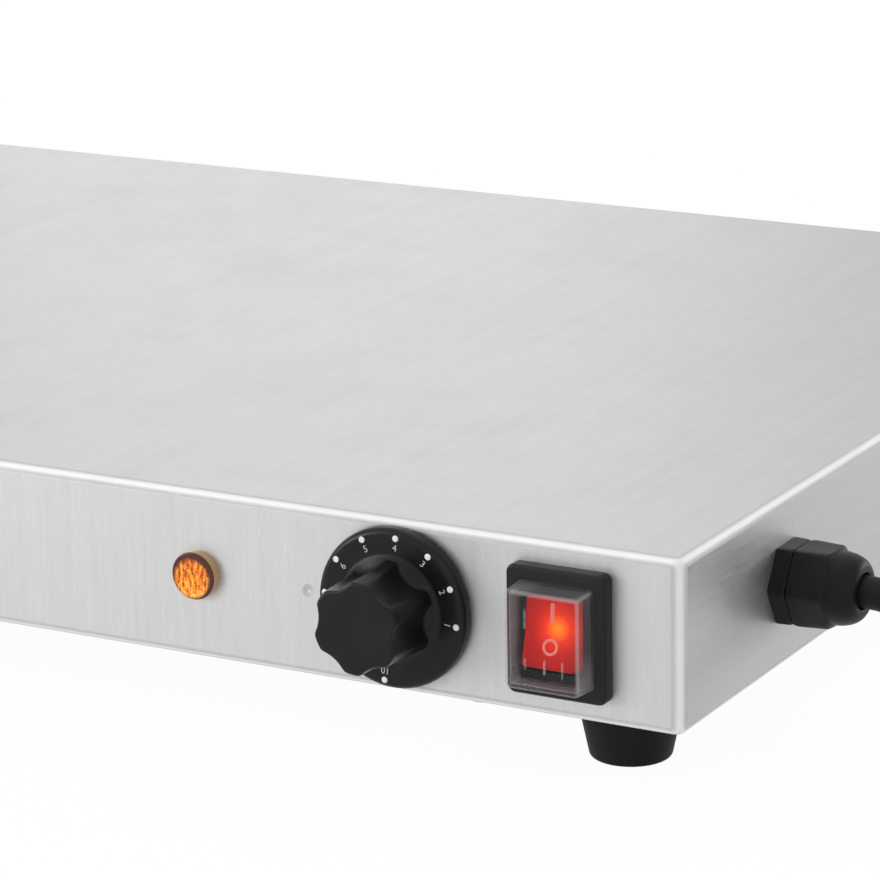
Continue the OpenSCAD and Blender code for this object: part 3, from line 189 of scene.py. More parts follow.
def rounded_rect(width: float, height: float, radius: float, side: int = 6, corner: int = 6) -> np.ndarray:
    """A closed rectangle with round corners, about its middle.

    Each corner is a quarter circle, and each side is cut into equal chords, so that rings of
    different sizes have the same number of points.

    Args:
        width: Size along the first axis.
        height: Size along the second axis.
        radius: Corner radius.
        side: Chords on each side.
        corner: Chords in each corner.

    Returns:
        The ring's points, one per row.
    """
    radius = max(radius, LEAST_CORNER_SHARE * width)
    turn = np.linspace(0, np.pi / 2, corner + 1)
    arc = radius * np.stack([np.cos(turn), np.sin(turn)], axis=1)
    parts = []
    for quarter, (sx, sy) in enumerate([(1, 1), (-1, 1), (-1, -1), (1, -1)]):
        a = quarter * np.pi / 2
        spin = np.array([[np.cos(a), np.sin(a)], [-np.sin(a), np.cos(a)]])
        parts.append(arc @ spin + [sx * (width / 2 - radius), sy * (height / 2 - radius)])
    out = []
    for part, following in zip(parts, parts[1:] + parts[:1]):
        out.append(part)
        out.append(np.linspace(part[-1], following[0], side + 1)[1:-1])
    return np.vstack(out)


def blunted(a: np.ndarray, b: np.ndarray, softness: float) -> np.ndarray:
    """The smaller of two lengths, with the corner between them rounded: -s ln(e^(-a/s) + e^(-b/s))."""
    return -softness * np.logaddexp(-a / softness, -b / softness)


def hexagon_radius(turn: np.ndarray, across_flats: float) -> np.ndarray:
    """Distance from the middle to the side of a hexagon with a corner at angle 0, at each angle.

    Args:
        turn: Angles in radians.
        across_flats: Width across the flats.

    Returns:
        Half the width across the flats over the cosine of the angle to the nearest flat.
    """
    from_flat = np.mod(turn, np.pi / 3) - np.pi / 6
    return across_flats / 2 / np.cos(from_flat)


# ------------------------------------------------------------------ surfaces


@dataclass
class Skin:
    """A closed surface: its points, and its faces as rows of point numbers."""

    points: np.ndarray
    quads: np.ndarray
    tris: np.ndarray

    def join(self, *others: "Skin") -> "Skin":
        """This skin and others as one.

        Args:
            *others: The skins that are added.

        Returns:
            One skin with all the points and faces.
        """
        skins = [self, *others]
        starts = np.cumsum([0] + [len(s.points) for s in skins[:-1]])
        return Skin(
            np.vstack([s.points for s in skins]),
            np.vstack([s.quads + n for s, n in zip(skins, starts)]),
            np.vstack([s.tris + n for s, n in zip(skins, starts)]),
        )

    def on(self, points: np.ndarray) -> "Skin":
        """The same faces on other points."""
        return Skin(points, self.quads, self.tris)

    def moved(self, x: float = 0, y: float = 0, z: float = 0) -> "Skin":
        """A copy of the skin, moved."""
        return self.on(self.points + [x, y, z])

    def at(self, axes: Axes) -> "Skin":
        """A copy of the skin in the tray's frame, from its own axes."""
        return self.on(axes.place(self.points))


def ring_skin(rings: np.ndarray, looped: bool = False) -> Skin:
    """Joins rings of points into a closed surface.

    Neighbouring rings are joined with quads. The first and the last ring are closed with a fan
    about their mean point, or joined to each other.

    Args:
        rings: Points of shape (rings, points in a ring, 3).
        looped: Whether the last ring joins the first.

    Returns:
        The closed surface.
    """
    count, size = rings.shape[:2]
    number = np.arange(count * size).reshape(count, size)
    near, far = (number, np.roll(number, -1, axis=0)) if looped else (number[:-1], number[1:])
    quads = np.stack([near, np.roll(near, -1, 1), np.roll(far, -1, 1), far], axis=-1).reshape(-1, 4)
    points = rings.reshape(-1, 3)
    if looped:
        return Skin(points, quads, np.zeros((0, 3), int))
    poles = np.stack([rings[0].mean(0), rings[-1].mean(0)])
    first, last = count * size, count * size + 1
    tris = np.vstack([
        np.stack([np.full(size, first), np.roll(number[0], -1), number[0]], axis=1),
        np.stack([np.full(size, last), number[-1], np.roll(number[-1], -1)], axis=1),
    ])
    return Skin(np.vstack([points, poles]), quads, tris)


def around(radii: np.ndarray, heights: np.ndarray, count: int) -> np.ndarray:
    """Rings about Z: at angle t, a radius r and a height z give the point (r cos t, r sin t, z).

    Args:
        radii: A row for each ring, with one radius or one for each angle.
        heights: A row for each ring, with one height or one for each angle.
        count: Points in each ring.

    Returns:
        The rings, of shape (rings, count, 3).
    """
    spokes = circle(count)
    return np.stack(np.broadcast_arrays(radii * spokes[:, 0], radii * spokes[:, 1], heights), axis=-1)


def lathe(profile: np.ndarray, count: int, looped: bool = False) -> Skin:
    """A surface of revolution about Z.

    Args:
        profile: Radius and height, one point per row.
        count: Points round the axis.
        looped: Whether the profile is a closed outline, as in a ring.

    Returns:
        The surface.
    """
    return ring_skin(around(np.maximum(profile[:, :1], LEAST_RADIUS), profile[:, 1:], count), looped)


def boxed(rows: Sequence[tuple[float, float, float, float]]) -> Skin:
    """A surface through rounded rectangles that lie above each other.

    Args:
        rows: Width, height, corner radius and place along Z of each rectangle.

    Returns:
        The surface.
    """
    outlines = [rounded_rect(width, height, radius) for width, height, radius, _ in rows]
    return ring_skin(np.stack([np.insert(outline, 2, z, axis=1) for outline, (*_, z) in zip(outlines, rows)]))


def swept(path: np.ndarray, section: np.ndarray) -> Skin:
    """Carries a flat section along a path without twisting it.

    At each point the section's plane is square to the path. Its first axis is the last one with
    its part along the path taken out. The first one is square to the path and to a slanted line.

    Args:
        path: Points, one per row.
        section: Closed outline, one point per row.

    Returns:
        The surface.
    """
    slanted = [0.1, 0.2, 1.0]
    heading = np.gradient(path, axis=0)
    heading = heading / np.linalg.norm(heading, axis=1)[:, None]
    side = np.cross(heading[0], slanted)
    sides = np.empty_like(path)
    for i, along in enumerate(heading):
        side = side - (side @ along) * along
        side = side / np.linalg.norm(side)
        sides[i] = side
    return ring_skin(across(path, section, sides, np.cross(heading, sides)))


def across(path: np.ndarray, section: np.ndarray, first: np.ndarray, second: np.ndarray) -> np.ndarray:
    """Rings with a flat section's shape at each point of a path.

    Args:
        path: Points, one per row.
        section: Closed outline, one point (a, b) per row.
        first: The direction of a at each point of the path.
        second: The direction of b there.

    Returns:
        The rings: path + a * first + b * second.
    """
    return path[:, None] + section[None, :, :1] * first[:, None] + section[None, :, 1:] * second[:, None]


def smooth_path(points: Sequence[Sequence[float]], step: float) -> np.ndarray:
    """A curve through given points: cubic pieces whose slope at a point follows its neighbours.

    Args:
        points: The points that the curve goes through.
        step: About how far apart the new points lie.

    Returns:
        The curve's points, one per row.
    """
    knots = np.asarray(points, float)
    slopes = np.gradient(knots, axis=0)
    gaps = np.linalg.norm(np.diff(knots, axis=0), axis=1)
    out = []
    for i, gap in enumerate(gaps):
        t = np.linspace(0, 1, max(2, int(round(gap / step))), endpoint=False)[:, None]
        p, q, m, n = knots[i], knots[i + 1], slopes[i], slopes[i + 1]
        out.append((2 * t**3 - 3 * t**2 + 1) * p + (t**3 - 2 * t**2 + t) * m
                   + (3 * t**2 - 2 * t**3) * q + (t**3 - t**2) * n)
    return np.vstack(out + [knots[-1:]])


def make_piece(name: str, skin: Skin, material: bpy.types.Material, body: str,
               sharp: float = 38.0) -> bpy.types.Object:
    """Makes an object from a surface in the tray's frame, and lets it ride on a body.

    Doubled points are merged, normals are turned outwards, and edges sharper than a limit stay sharp.

    Args:
        name: The piece's name.
        skin: Its surface, in metres in the tray's frame.
        material: Its finish.
        body: The CAD body that carries it.
        sharp: Angle in degrees past which an edge stays sharp.

    Returns:
        The object, at the origin.
    """
    mesh = bpy.data.meshes.new(name)
    mesh.from_pydata(skin.points.tolist(), [], skin.quads.tolist() + skin.tris.tolist())
    work = bmesh.new()
    work.from_mesh(mesh)
    bmesh.ops.remove_doubles(work, verts=work.verts, dist=MERGE)
    bmesh.ops.recalc_face_normals(work, faces=work.faces)
    limit = math.radians(sharp)
    for face in work.faces:
        face.smooth = True
    for edge in work.edges:
        edge.smooth = len(edge.link_faces) == 2 and edge.calc_face_angle(0.0) < limit
    work.to_mesh(mesh)
    work.free()
    mesh.materials.append(material)
    piece = bpy.data.objects.new(name, mesh)
    bpy.context.scene.collection.objects.link(piece)
    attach(piece, body)
    LOG.info("%s: %d faces on %s", name, len(mesh.polygons), body)
    return piece


def dress(material: bpy.types.Material, *nodes: str) -> None:
    """Gives CAD nodes a finish.

    Args:
        material: The finish.
        *nodes: The nodes' names.
    """
    for node in nodes:
        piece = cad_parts[node]
        if not piece.material_slots:
            piece.data.materials.append(material)
        for entry in piece.material_slots:
            entry.material = material


# ------------------------------------------------------------------ shader groups


class Tree:
    """Short calls that add nodes to a node tree and join them."""

    def __init__(self, tree: bpy.types.NodeTree) -> None:
        """Keeps the tree."""
        self.tree = tree

    def add(self, kind: str, **settings: object) -> bpy.types.Node:
        """Adds a node and sets its own properties."""
        node = self.tree.nodes.new(kind)
        for key, value in settings.items():
            setattr(node, key, value)
        return node

    def feed(self, value: object, target: Socket) -> None:
        """Joins a socket to another, or sets the target where the value is a plain one."""
        if isinstance(value, Socket):
            self.tree.links.new(value, target)
        else:
            target.default_value = value

    def math(self, operation: str, a: object, b: object = 0.0) -> Socket:
        """The result of a Math node."""
        node = self.add("ShaderNodeMath", operation=operation)
        self.feed(a, node.inputs[0])
        self.feed(b, node.inputs[1])
        return node.outputs[0]

    def blend(self, factor: object, a: object, b: object) -> Socket:
        """A mix of two colours."""
        node = self.add("ShaderNodeMix", data_type="RGBA")
        for index, value in ((0, factor), (6, a), (7, b)):
            self.feed(value, node.inputs[index])
        return node.outputs[2]

    def blend_numbers(self, factor: object, a: object, b: object) -> Socket:
        """A mix of two numbers."""
        node = self.add("ShaderNodeMix", data_type="FLOAT")
        for index, value in ((0, factor), (2, a), (3, b)):
            self.feed(value, node.inputs[index])
        return node.outputs[0]

    def span(self, value: object, low: float, high: float, to_low: float = 0.0,
             to_high: float = 1.0) -> Socket:
        """A value carried from one range into another, and kept inside it."""
        node = self.add("ShaderNodeMapRange")
        for socket, number in zip(node.inputs, (value, low, high, to_low, to_high)):
            self.feed(number, socket)
        return node.outputs[0]

    def spread(self, noise: Socket, to_low: float = 0.0, to_high: float = 1.0) -> Socket:
        """A noise's usual values carried into a range."""
        return self.span(noise, *NOISE_RANGE, to_low, to_high)

    def noise(self, where: Socket, scale: Point, detail: float = 2.0, roughness: float = 0.5) -> Socket:
        """Noise with its own scale along each axis."""
        mapping = self.add("ShaderNodeMapping")
        mapping.inputs["Scale"].default_value = scale
        self.feed(where, mapping.inputs["Vector"])
        node = self.add("ShaderNodeTexNoise")
        node.inputs["Scale"].default_value = 1.0
        node.inputs["Detail"].default_value = detail
        node.inputs["Roughness"].default_value = roughness
        self.feed(mapping.outputs[0], node.inputs["Vector"])
        return node.outputs["Fac"]

    def split(self, vector: Socket) -> tuple[Socket, Socket, Socket]:
        """The X, Y and Z of a vector."""
        node = self.add("ShaderNodeSeparateXYZ")
        self.feed(vector, node.inputs[0])
        return tuple(node.outputs)

    def distance(self, where: Socket, point: Point) -> Socket:
        """How far a place is from a point."""
        node = self.add("ShaderNodeVectorMath", operation="DISTANCE")
        self.feed(where, node.inputs[0])
        self.feed(point, node.inputs[1])
        return node.outputs["Value"]

    def ramp(self, factor: Socket, stops: Sequence[tuple[float, Colour]]) -> Socket:
        """A colour that runs through the colours of its stops, which lie at rising factors."""
        node = self.add("ShaderNodeValToRGB")
        elements = node.color_ramp.elements
        for element, (place, colour) in zip(elements, (stops[0], stops[-1])):
            element.position, element.color = place, (*colour, 1.0)
        for place, colour in stops[1:-1]:
            elements.new(place).color = (*colour, 1.0)
        self.feed(factor, node.inputs[0])
        return node.outputs[0]


def new_group(name: str, inputs: Sequence[tuple[str, str, object]],
              outputs: Sequence[tuple[str, str]]) -> tuple[bpy.types.NodeTree, Tree, dict, dict]:
    """Starts a shader node group.

    Args:
        name: The group's name.
        inputs: Name, socket type and default of each input.
        outputs: Name and socket type of each output.

    Returns:
        The group, its tree helper, and its input and output sockets by name.
    """
    group = bpy.data.node_groups.new(name, "ShaderNodeTree")
    for label, kind, default in inputs:
        socket = group.interface.new_socket(label, in_out="INPUT", socket_type=kind)
        if default is not None:
            socket.default_value = default
    for label, kind in outputs:
        group.interface.new_socket(label, in_out="OUTPUT", socket_type=kind)
    tree = Tree(group)
    entry, leave = tree.add("NodeGroupInput"), tree.add("NodeGroupOutput")
    return group, tree, dict(entry.outputs.items()), dict(leave.inputs.items())


class Groups:
    """The shader groups that several finishes share, each built once. Scales are in waves a metre."""

    # Each grain's scale across the brushing and along it, and its detail.
    grains: dict[str, Point] = {
        "Streaks": (5200, 90, 3.0),
        "Bands": (420, 9, 2.0),
        "Flecks": (2300, 150, 1.0),
    }
    # The size of the normal's Y between which the brushing turns upright.
    upright: Pair = (0.6, 0.8)
    # The normal's largest part where each mask of the folds starts and where it is full.
    whole_bend: Pair = (0.9998, 0.99)
    bend_middle: Pair = (0.9995, 0.82)
    # The normal's Z between which the folds' middle comes in, so that the painted highlight which this mask
    # places stays off folds that face down.
    bend_above: Pair = (-0.9, -0.6)
    stipple: float = 4200
    unevenness: float = 140
    # The scales, detail and roughness of the broad and the fine smears, and the range of both.
    broad_smears: tuple[Point, float, float] = ((14, 20, 24), 4.0, 0.6)
    fine_smears: tuple[Point, float, float] = ((60, 75, 90), 3.0, 0.6)
    smear_range: Pair = (0.2, 0.34)

    def __init__(self) -> None:
        """Builds every group."""
        self.grain = self._grain()
        self.fold = self._fold()
        self.facing = self._facing()
        self.moulding = self._moulding()
        self.handling = self._handling()

    def _grain(self) -> bpy.types.NodeTree:
        """Brushing along Y on the top and the two ends, which runs on down the front and the back.

        Each grain is noise stretched along the brushing.
        """
        group, tree, given, out = new_group(
            "Brushed grain",
            [("Coordinates", "NodeSocketVector", None), ("Normal", "NodeSocketVector", None)],
            [(label, "NodeSocketFloat") for label in self.grains])
        upright = tree.span(tree.math("ABSOLUTE", tree.split(given["Normal"])[1]), *self.upright)
        for label, (wide, long, detail) in self.grains.items():
            flat = tree.noise(given["Coordinates"], (wide, long, wide), detail)
            standing = tree.noise(given["Coordinates"], (wide, wide, long), detail)
            tree.feed(tree.blend_numbers(upright, flat, standing), out[label])
        return group

    def _fold(self) -> bpy.types.NodeTree:
        """Two masks of the folded edges: one for the whole bend, and one that peaks in its middle.

        Both are 0 where the normal lies along an axis. The middle's is also 0 where it points well down. The
        middle's mask places painted highlights on the steel's folds and on the clear cover's edges.
        """
        group, tree, given, out = new_group(
            "Folded edge", [("Normal", "NodeSocketVector", None)],
            [("Mask", "NodeSocketFloat"), ("Bend", "NodeSocketFloat")])
        parts = tree.split(given["Normal"])
        x, y, z = (tree.math("ABSOLUTE", part) for part in parts)
        largest = tree.math("MAXIMUM", tree.math("MAXIMUM", x, y), z)
        above = tree.span(parts[2], *self.bend_above)
        tree.feed(tree.math("MULTIPLY", tree.span(largest, *self.bend_middle), above), out["Mask"])
        tree.feed(tree.span(largest, *self.whole_bend), out["Bend"])
        return group

    def _facing(self) -> bpy.types.NodeTree:
        """How far a surface faces the front or the back: the size of its normal along Y."""
        group, tree, given, out = new_group(
            "Facing", [("Normal", "NodeSocketVector", None)], [("Front", "NodeSocketFloat")])
        tree.feed(tree.math("ABSOLUTE", tree.split(given["Normal"])[1]), out["Front"])
        return group

    def _moulding(self) -> bpy.types.NodeTree:
        """Moulded skin: a fine stipple for bump, and a slow unevenness for colour and gloss."""
        group, tree, given, out = new_group(
            "Moulded skin", [("Coordinates", "NodeSocketVector", None), ("Size", "NodeSocketFloat", 1.0)],
            [("Stipple", "NodeSocketFloat"), ("Unevenness", "NodeSocketFloat")])
        scaled = tree.add("ShaderNodeVectorMath", operation="SCALE")
        tree.feed(given["Coordinates"], scaled.inputs[0])
        tree.feed(given["Size"], scaled.inputs["Scale"])
        tree.feed(tree.noise(scaled.outputs[0], (self.stipple,) * 3, 2.0), out["Stipple"])
        tree.feed(tree.noise(scaled.outputs[0], (self.unevenness,) * 3, 3.0), out["Unevenness"])
        return group

    def _handling(self) -> bpy.types.NodeTree:
        """Faint wiped smears, softer than the grain, as a mask for gloss."""
        group, tree, given, out = new_group(
            "Handling marks", [("Coordinates", "NodeSocketVector", None)], [("Smears", "NodeSocketFloat")])
        kinds = (self.broad_smears, self.fine_smears)
        broad, fine = (tree.noise(given["Coordinates"], *kind) for kind in kinds)
        tree.feed(tree.span(tree.math("MULTIPLY", broad, fine), *self.smear_range), out["Smears"])
        return group


GROUPS = Groups()


# ------------------------------------------------------------------ finishes


class Finish:
    """A finish under construction: a material, its tree and its Principled BSDF."""

    def __init__(self, name: str, **sockets: object) -> None:
        """Starts a material and sets plain values on its shader.

        Args:
            name: The material's name.
            **sockets: Shader sockets, with spaces written as underscores.
        """
        self.material = bpy.data.materials.new(name)
        self.material.use_nodes = True
        self.tree = Tree(self.material.node_tree)
        self.shader = self.material.node_tree.nodes["Principled BSDF"]
        for key, value in sockets.items():
            self.shader.inputs[key.replace("_", " ")].default_value = value
        self.coordinates = self.tree.add("ShaderNodeTexCoord").outputs["Object"]
        self.normal = self.tree.add("ShaderNodeNewGeometry").outputs["Normal"]

    def place(self, group: bpy.types.NodeTree, **inputs: object) -> dict:
        """Adds a shared group, fed with this material's coordinates and normal.

        Args:
            group: The group.
            **inputs: Values of its other inputs.

        Returns:
            The group's outputs by name.
        """
        node = self.tree.add("ShaderNodeGroup", node_tree=group)
        given = {"Coordinates": self.coordinates, "Normal": self.normal, **inputs}
        for socket in node.inputs:
            if socket.name in given:
                self.tree.feed(given[socket.name], socket)
        return dict(node.outputs.items())

    def set(self, socket: str, value: object) -> None:
        """Joins or sets one of the shader's sockets."""
        self.tree.feed(value, self.shader.inputs[socket])

    def bump(self, height: Socket, depth: float) -> None:
        """Gives the shader a bump whose full height is a depth in metres."""
        node = self.tree.add("ShaderNodeBump")
        for socket, value in (("Distance", depth), ("Strength", 1.0), ("Height", height)):
            self.tree.feed(value, node.inputs[socket])
        self.set("Normal", node.outputs[0])

    def mould(self, colour: Colour, tones: Pair, depth: float, size: float = 1.0) -> Socket:
        """Gives the shader a slowly uneven colour and a fine stipple.

        Args:
            colour: The middle colour.
            tones: The factors that make it darkest and lightest.
            depth: The stipple's height in metres.
            size: How many times finer the pattern is than the group's own.

        Returns:
            The unevenness, for the gloss.
        """
        skin = self.place(GROUPS.moulding, Size=size)
        dark, light = (shade(colour, tone) for tone in tones)
        self.set("Base Color", self.tree.blend(self.tree.spread(skin["Unevenness"]), dark, light))
        self.bump(skin["Stipple"], depth)
        return skin["Unevenness"]


def grey(value: float) -> Rgba:
    """A neutral colour with an alpha of 1."""
    return (value, value, value, 1.0)


def shade(colour: Colour, factor: float) -> Rgba:
    """A colour made darker or lighter, with an alpha of 1."""
    return (*[min(1.0, c * factor) for c in colour], 1.0)


@dataclass(frozen=True)
class BrushedSteel:
    """Brushed stainless sheet: streaked faces, and folds painted lighter as a painted highlight.

    Streaks and bands move the tone either way by their own value, and flecks only raise it.
    """

    name: str = "brushed_stainless"
    face: float = 0.53
    # The folds' colour: a painted highlight on the top and upright folds.
    fold: float = 0.8
    glancing: float = 0.72
    streaks: float = 0.017
    bands: float = 0.012
    flecks: float = 0.032
    fleck_range: Pair = (0.6, 0.74)
    roughness: float = 0.46
    fold_roughness: float = 0.8
    gloss_streaks: float = 0.05
    smears: float = 0.03
    grain_depth: float = 2.2e-6

    def material(self) -> bpy.types.Material:
        """Builds the material.

        Returns:
            The material.
        """
        finish = Finish(self.name, Metallic=1.0, Specular_Tint=grey(self.glancing))
        tree = finish.tree
        grain, fold = finish.place(GROUPS.grain), finish.place(GROUPS.fold)
        smears = tree.math("MULTIPLY", finish.place(GROUPS.handling)["Smears"], self.smears)
        tone = tree.math("ADD", tree.spread(grain["Streaks"], -self.streaks, self.streaks),
                         tree.spread(grain["Bands"], -self.bands, self.bands))
        tone = tree.math("ADD", tone, tree.span(grain["Flecks"], *self.fleck_range, 0.0, self.flecks))
        # Painted highlight: the folds' middle takes the lighter fold colour.
        finish.set("Base Color", tree.blend(fold["Mask"], tree.math("ADD", tone, self.face), grey(self.fold)))
        gloss = tree.spread(grain["Streaks"], -self.gloss_streaks, self.gloss_streaks)
        rough = tree.span(fold["Bend"], 0.0, 1.0, self.roughness, self.fold_roughness)
        finish.set("Roughness", tree.math("ADD", tree.math("ADD", gloss, smears), rough))
        finish.bump(grain["Streaks"], self.grain_depth)
        return finish.material


@dataclass(frozen=True)
class PlainMetal:
    """Plated, turned or drawn metal with a fine unevenness."""

    name: str
    colour: Colour
    roughness: float = 0.3
    depth: float = 2e-6
    tones: Pair = (0.9, 1.06)
    swing: Pair = (-0.06, 0.08)

    def material(self) -> bpy.types.Material:
        """Builds the material.

        Returns:
            The material.
        """
        finish = Finish(self.name, Metallic=1.0)
        uneven = finish.mould(self.colour, self.tones, self.depth)
        finish.set("Roughness", finish.tree.spread(uneven, *[self.roughness + step for step in self.swing]))
        return finish.material


@dataclass(frozen=True)
class Moulded:
    """Moulded plastic or rubber: a fine stipple, a slow unevenness and its own gloss."""

    name: str
    colour: Colour
    roughness: float = 0.4
    specular: float = 0.3
    depth: float = 6e-6
    size: float = 1.0
    tones: Pair = (0.82, 1.18)
    swing: Pair = (-0.05, 0.07)

    def material(self) -> bpy.types.Material:
        """Builds the material.

        Returns:
            The material.
        """
        finish = Finish(self.name, Metallic=0.0, Specular_IOR_Level=self.specular)
        uneven = finish.mould(self.colour, self.tones, self.depth, self.size)
        finish.set("Roughness", finish.tree.spread(uneven, *[self.roughness + step for step in self.swing]))
        return finish.material


@dataclass(frozen=True)
class AmberLens:
    """Clear amber plastic: streaked prisms in front of the lamp, a dark rim round them that is a painted
    shadow, and a paler side.
    """

    name: str
    middle: Point
    dark: Colour = (0.3, 0.05, 0.004)
    body: Colour = (0.72, 0.17, 0.008)
    light: Colour = (0.95, 0.42, 0.04)
    stops: Point = (0.38, 0.5, 0.64)
    # A painted shadow: the dark colour of the rim round the prisms.
    rim: Colour = (0.05, 0.012, 0.004)
    side: Colour = (0.5, 0.3, 0.14)
    side_glow: Colour = (0.02, 0.006, 0.0)
    side_range: Pair = (0.3, 0.6)
    glow: float = 0.3
    streak: Point = (1250.0, 1250.0, 380.0)
    drop: float = 4.5 * MM
    levels: Pair = (0.07, -0.05)
    # The distances from the middle where the painted rim shadow starts and where it is full.
    area: float = 4.5 * MM
    area_end: float = 5.6 * MM

    def material(self) -> bpy.types.Material:
        """Builds the material: the painted rim shadow's mask follows the distance from a middle that lies off
        the lens's axis.

        The streaks are paler towards the bottom, where the lamp stands.

        Returns:
            The material.
        """
        finish = Finish(self.name, Metallic=0.0, Roughness=0.2, IOR=1.49, Specular_IOR_Level=0.3,
                        Coat_Weight=0.15, Coat_Roughness=0.1, Emission_Strength=self.glow)
        tree = finish.tree
        height, middle = tree.split(finish.coordinates)[2], self.middle[2]
        level = tree.span(height, middle - self.drop, middle + self.drop, *self.levels)
        streaks = tree.math("ADD", tree.noise(finish.coordinates, self.streak, 2.0, 0.6), level)
        prisms = tree.ramp(streaks, list(zip(self.stops, (self.dark, self.body, self.light))))
        # Painted shadow: past a distance from the middle, the face turns to the dark rim colour.
        rim_shadow = tree.span(tree.distance(finish.coordinates, self.middle), self.area, self.area_end)
        face = tree.blend(rim_shadow, prisms, (*self.rim, 1.0))
        facing = tree.span(finish.place(GROUPS.facing)["Front"], *self.side_range)
        finish.set("Base Color", tree.blend(facing, (*self.side, 1.0), face))
        finish.set("Emission Color", tree.blend(facing, (*self.side_glow, 1.0), face))
        return finish.material


@dataclass(frozen=True)
class LitRocker:
    """Clear red plastic, lit from within by a small glow lamp.

    The glow gives its colour at each share of its reach from the lamp.
    """

    name: str
    lamp: Point
    colour: Colour = (0.25, 0.006, 0.005)
    tones: Pair = (0.85, 1.15)
    depth: float = 2e-6
    reach: float = 13.6 * MM
    glow: tuple[tuple[float, Colour], ...] = (
        (0.0, (1.0, 0.3, 0.01)), (0.13, (1.0, 0.15, 0.006)), (0.25, (0.6, 0.03, 0.005)),
        (0.5, (0.24, 0.006, 0.003)), (1.0, (0.05, 0.001, 0.001)))

    def material(self) -> bpy.types.Material:
        """Builds the material: the glow falls off with the distance from the lamp.

        Returns:
            The material.
        """
        finish = Finish(self.name, Metallic=0.0, Roughness=0.25, IOR=1.49, Specular_IOR_Level=0.1,
                        Emission_Strength=1.0)
        tree = finish.tree
        share = tree.span(tree.distance(finish.coordinates, self.lamp), 0.0, self.reach)
        finish.set("Emission Color", tree.ramp(share, self.glow))
        finish.mould(self.colour, self.tones, self.depth)
        return finish.material


@dataclass(frozen=True)
class ClearVinyl:
    """Soft clear vinyl: nearly unseen from the front, with painted light on its lower left walls and a
    painted highlight on its edges.
    """

    name: str
    middle: Point
    size: Point
    face: float = 0.012
    # The walls' cover at the upper right and at the lower left: painted light, heavier on the lower left
    # walls.
    dim_wall: float = 0.045
    lit_wall: float = 0.32
    lit_range: Pair = (-0.4, 0.4)
    front_range: Pair = (0.5, 0.98)
    # The edges' cover: a painted highlight.
    edge: float = 0.22
    clouds: Pair = (0.8, 1.2)
    dark: Colour = (0.46, 0.43, 0.44)
    pale: Colour = (0.6, 0.58, 0.59)
    ripple: float = 4e-5

    def material(self) -> bpy.types.Material:
        """Builds the material: its cover grows from the front to the walls, and again on the edges, where it
        is a painted highlight.

        The walls are painted lighter towards the lower left, as painted light, by x / width + z / height from
        the middle.

        Returns:
            The material.
        """
        finish = Finish(self.name, Metallic=0.0, Roughness=0.16, IOR=1.45)
        tree, uneven = finish.tree, finish.place(GROUPS.moulding, Size=0.3)["Unevenness"]
        parts = tree.split(finish.coordinates)
        shares = [tree.math("DIVIDE", tree.math("SUBTRACT", parts[k], self.middle[k]), self.size[k])
                  for k in (0, 2)]
        # Painted light: the walls get more cover, and so look lighter, towards the lower left.
        lit_walls = tree.span(tree.math("ADD", *shares), *self.lit_range, self.lit_wall, self.dim_wall)
        front = tree.span(finish.place(GROUPS.facing)["Front"], *self.front_range)
        wall = tree.math("MULTIPLY", lit_walls, tree.math("SUBTRACT", 1.0, front))
        # Painted highlight: more cover on the rounded edges.
        edge = tree.math("MULTIPLY", finish.place(GROUPS.fold)["Mask"], self.edge)
        cover = tree.math("ADD", tree.math("ADD", wall, self.face), edge)
        finish.set("Alpha", tree.math("MULTIPLY", cover, tree.spread(uneven, *self.clouds)))
        finish.set("Base Color", tree.blend(uneven, (*self.dark, 1.0), (*self.pale, 1.0)))
        finish.bump(uneven, self.ripple)
        return finish.material


@dataclass(frozen=True)
class MilkyEdge:
    """The thin milky lines of the cover's ribs."""

    name: str = "milky_rib"
    alpha: float = 0.2
    thinnest: float = 0.4
    thin_range: Pair = (0.35, 0.65)
    tones: Pair = (0.5, 0.85)

    def material(self) -> bpy.types.Material:
        """Builds the material.

        Returns:
            The material.
        """
        finish = Finish(self.name, Metallic=0.0, Roughness=0.3)
        tree, uneven = finish.tree, finish.place(GROUPS.moulding, Size=2.0)["Unevenness"]
        finish.set("Base Color", tree.blend(uneven, *[grey(tone) for tone in self.tones]))
        finish.set("Alpha", tree.span(uneven, *self.thin_range, self.thinnest * self.alpha, self.alpha))
        return finish.material


@dataclass(frozen=True)
class MineralFibre:
    """Needled fibre mat: loose short fibres in two tones."""

    name: str = "mineral_fibre"
    dark: Colour = (0.62, 0.58, 0.45)
    pale: Colour = (0.86, 0.83, 0.72)
    scale: Point = (900, 260, 900)
    depth: float = 6e-4

    def material(self) -> bpy.types.Material:
        """Builds the material.

        Returns:
            The material.
        """
        finish = Finish(self.name, Metallic=0.0, Roughness=0.95, Specular_IOR_Level=0.1)
        fibres = finish.tree.noise(finish.coordinates, self.scale, 4.0, 0.7)
        finish.set("Base Color", finish.tree.blend(fibres, (*self.dark, 1.0), (*self.pale, 1.0)))
        finish.bump(fibres, self.depth)
        return finish.material


@dataclass(frozen=True)
class WovenStrap:
    """A narrow black strap: warp and weft from two crossed waves."""

    name: str = "woven_strap"
    thread: float = 0.7 * MM
    tones: Pair = (0.008, 0.035)
    depth: float = 1.2e-4

    def material(self) -> bpy.types.Material:
        """Builds the material: the weave is one wave times the other.

        Returns:
            The material.
        """
        finish = Finish(self.name, Metallic=0.0, Roughness=0.85, Specular_IOR_Level=0.15, Sheen_Weight=0.3)
        tree = finish.tree
        waves = []
        for direction in ("X", "DIAGONAL"):
            wave = tree.add("ShaderNodeTexWave", bands_direction=direction)
            tree.feed(WAVE_REPEAT / self.thread, wave.inputs["Scale"])
            tree.feed(finish.coordinates, wave.inputs["Vector"])
            waves.append(wave.outputs["Fac"])
        weave = tree.math("MULTIPLY", *waves)
        finish.set("Base Color", tree.blend(weave, *[grey(tone) for tone in self.tones]))
        finish.bump(weave, self.depth)
        return finish.material


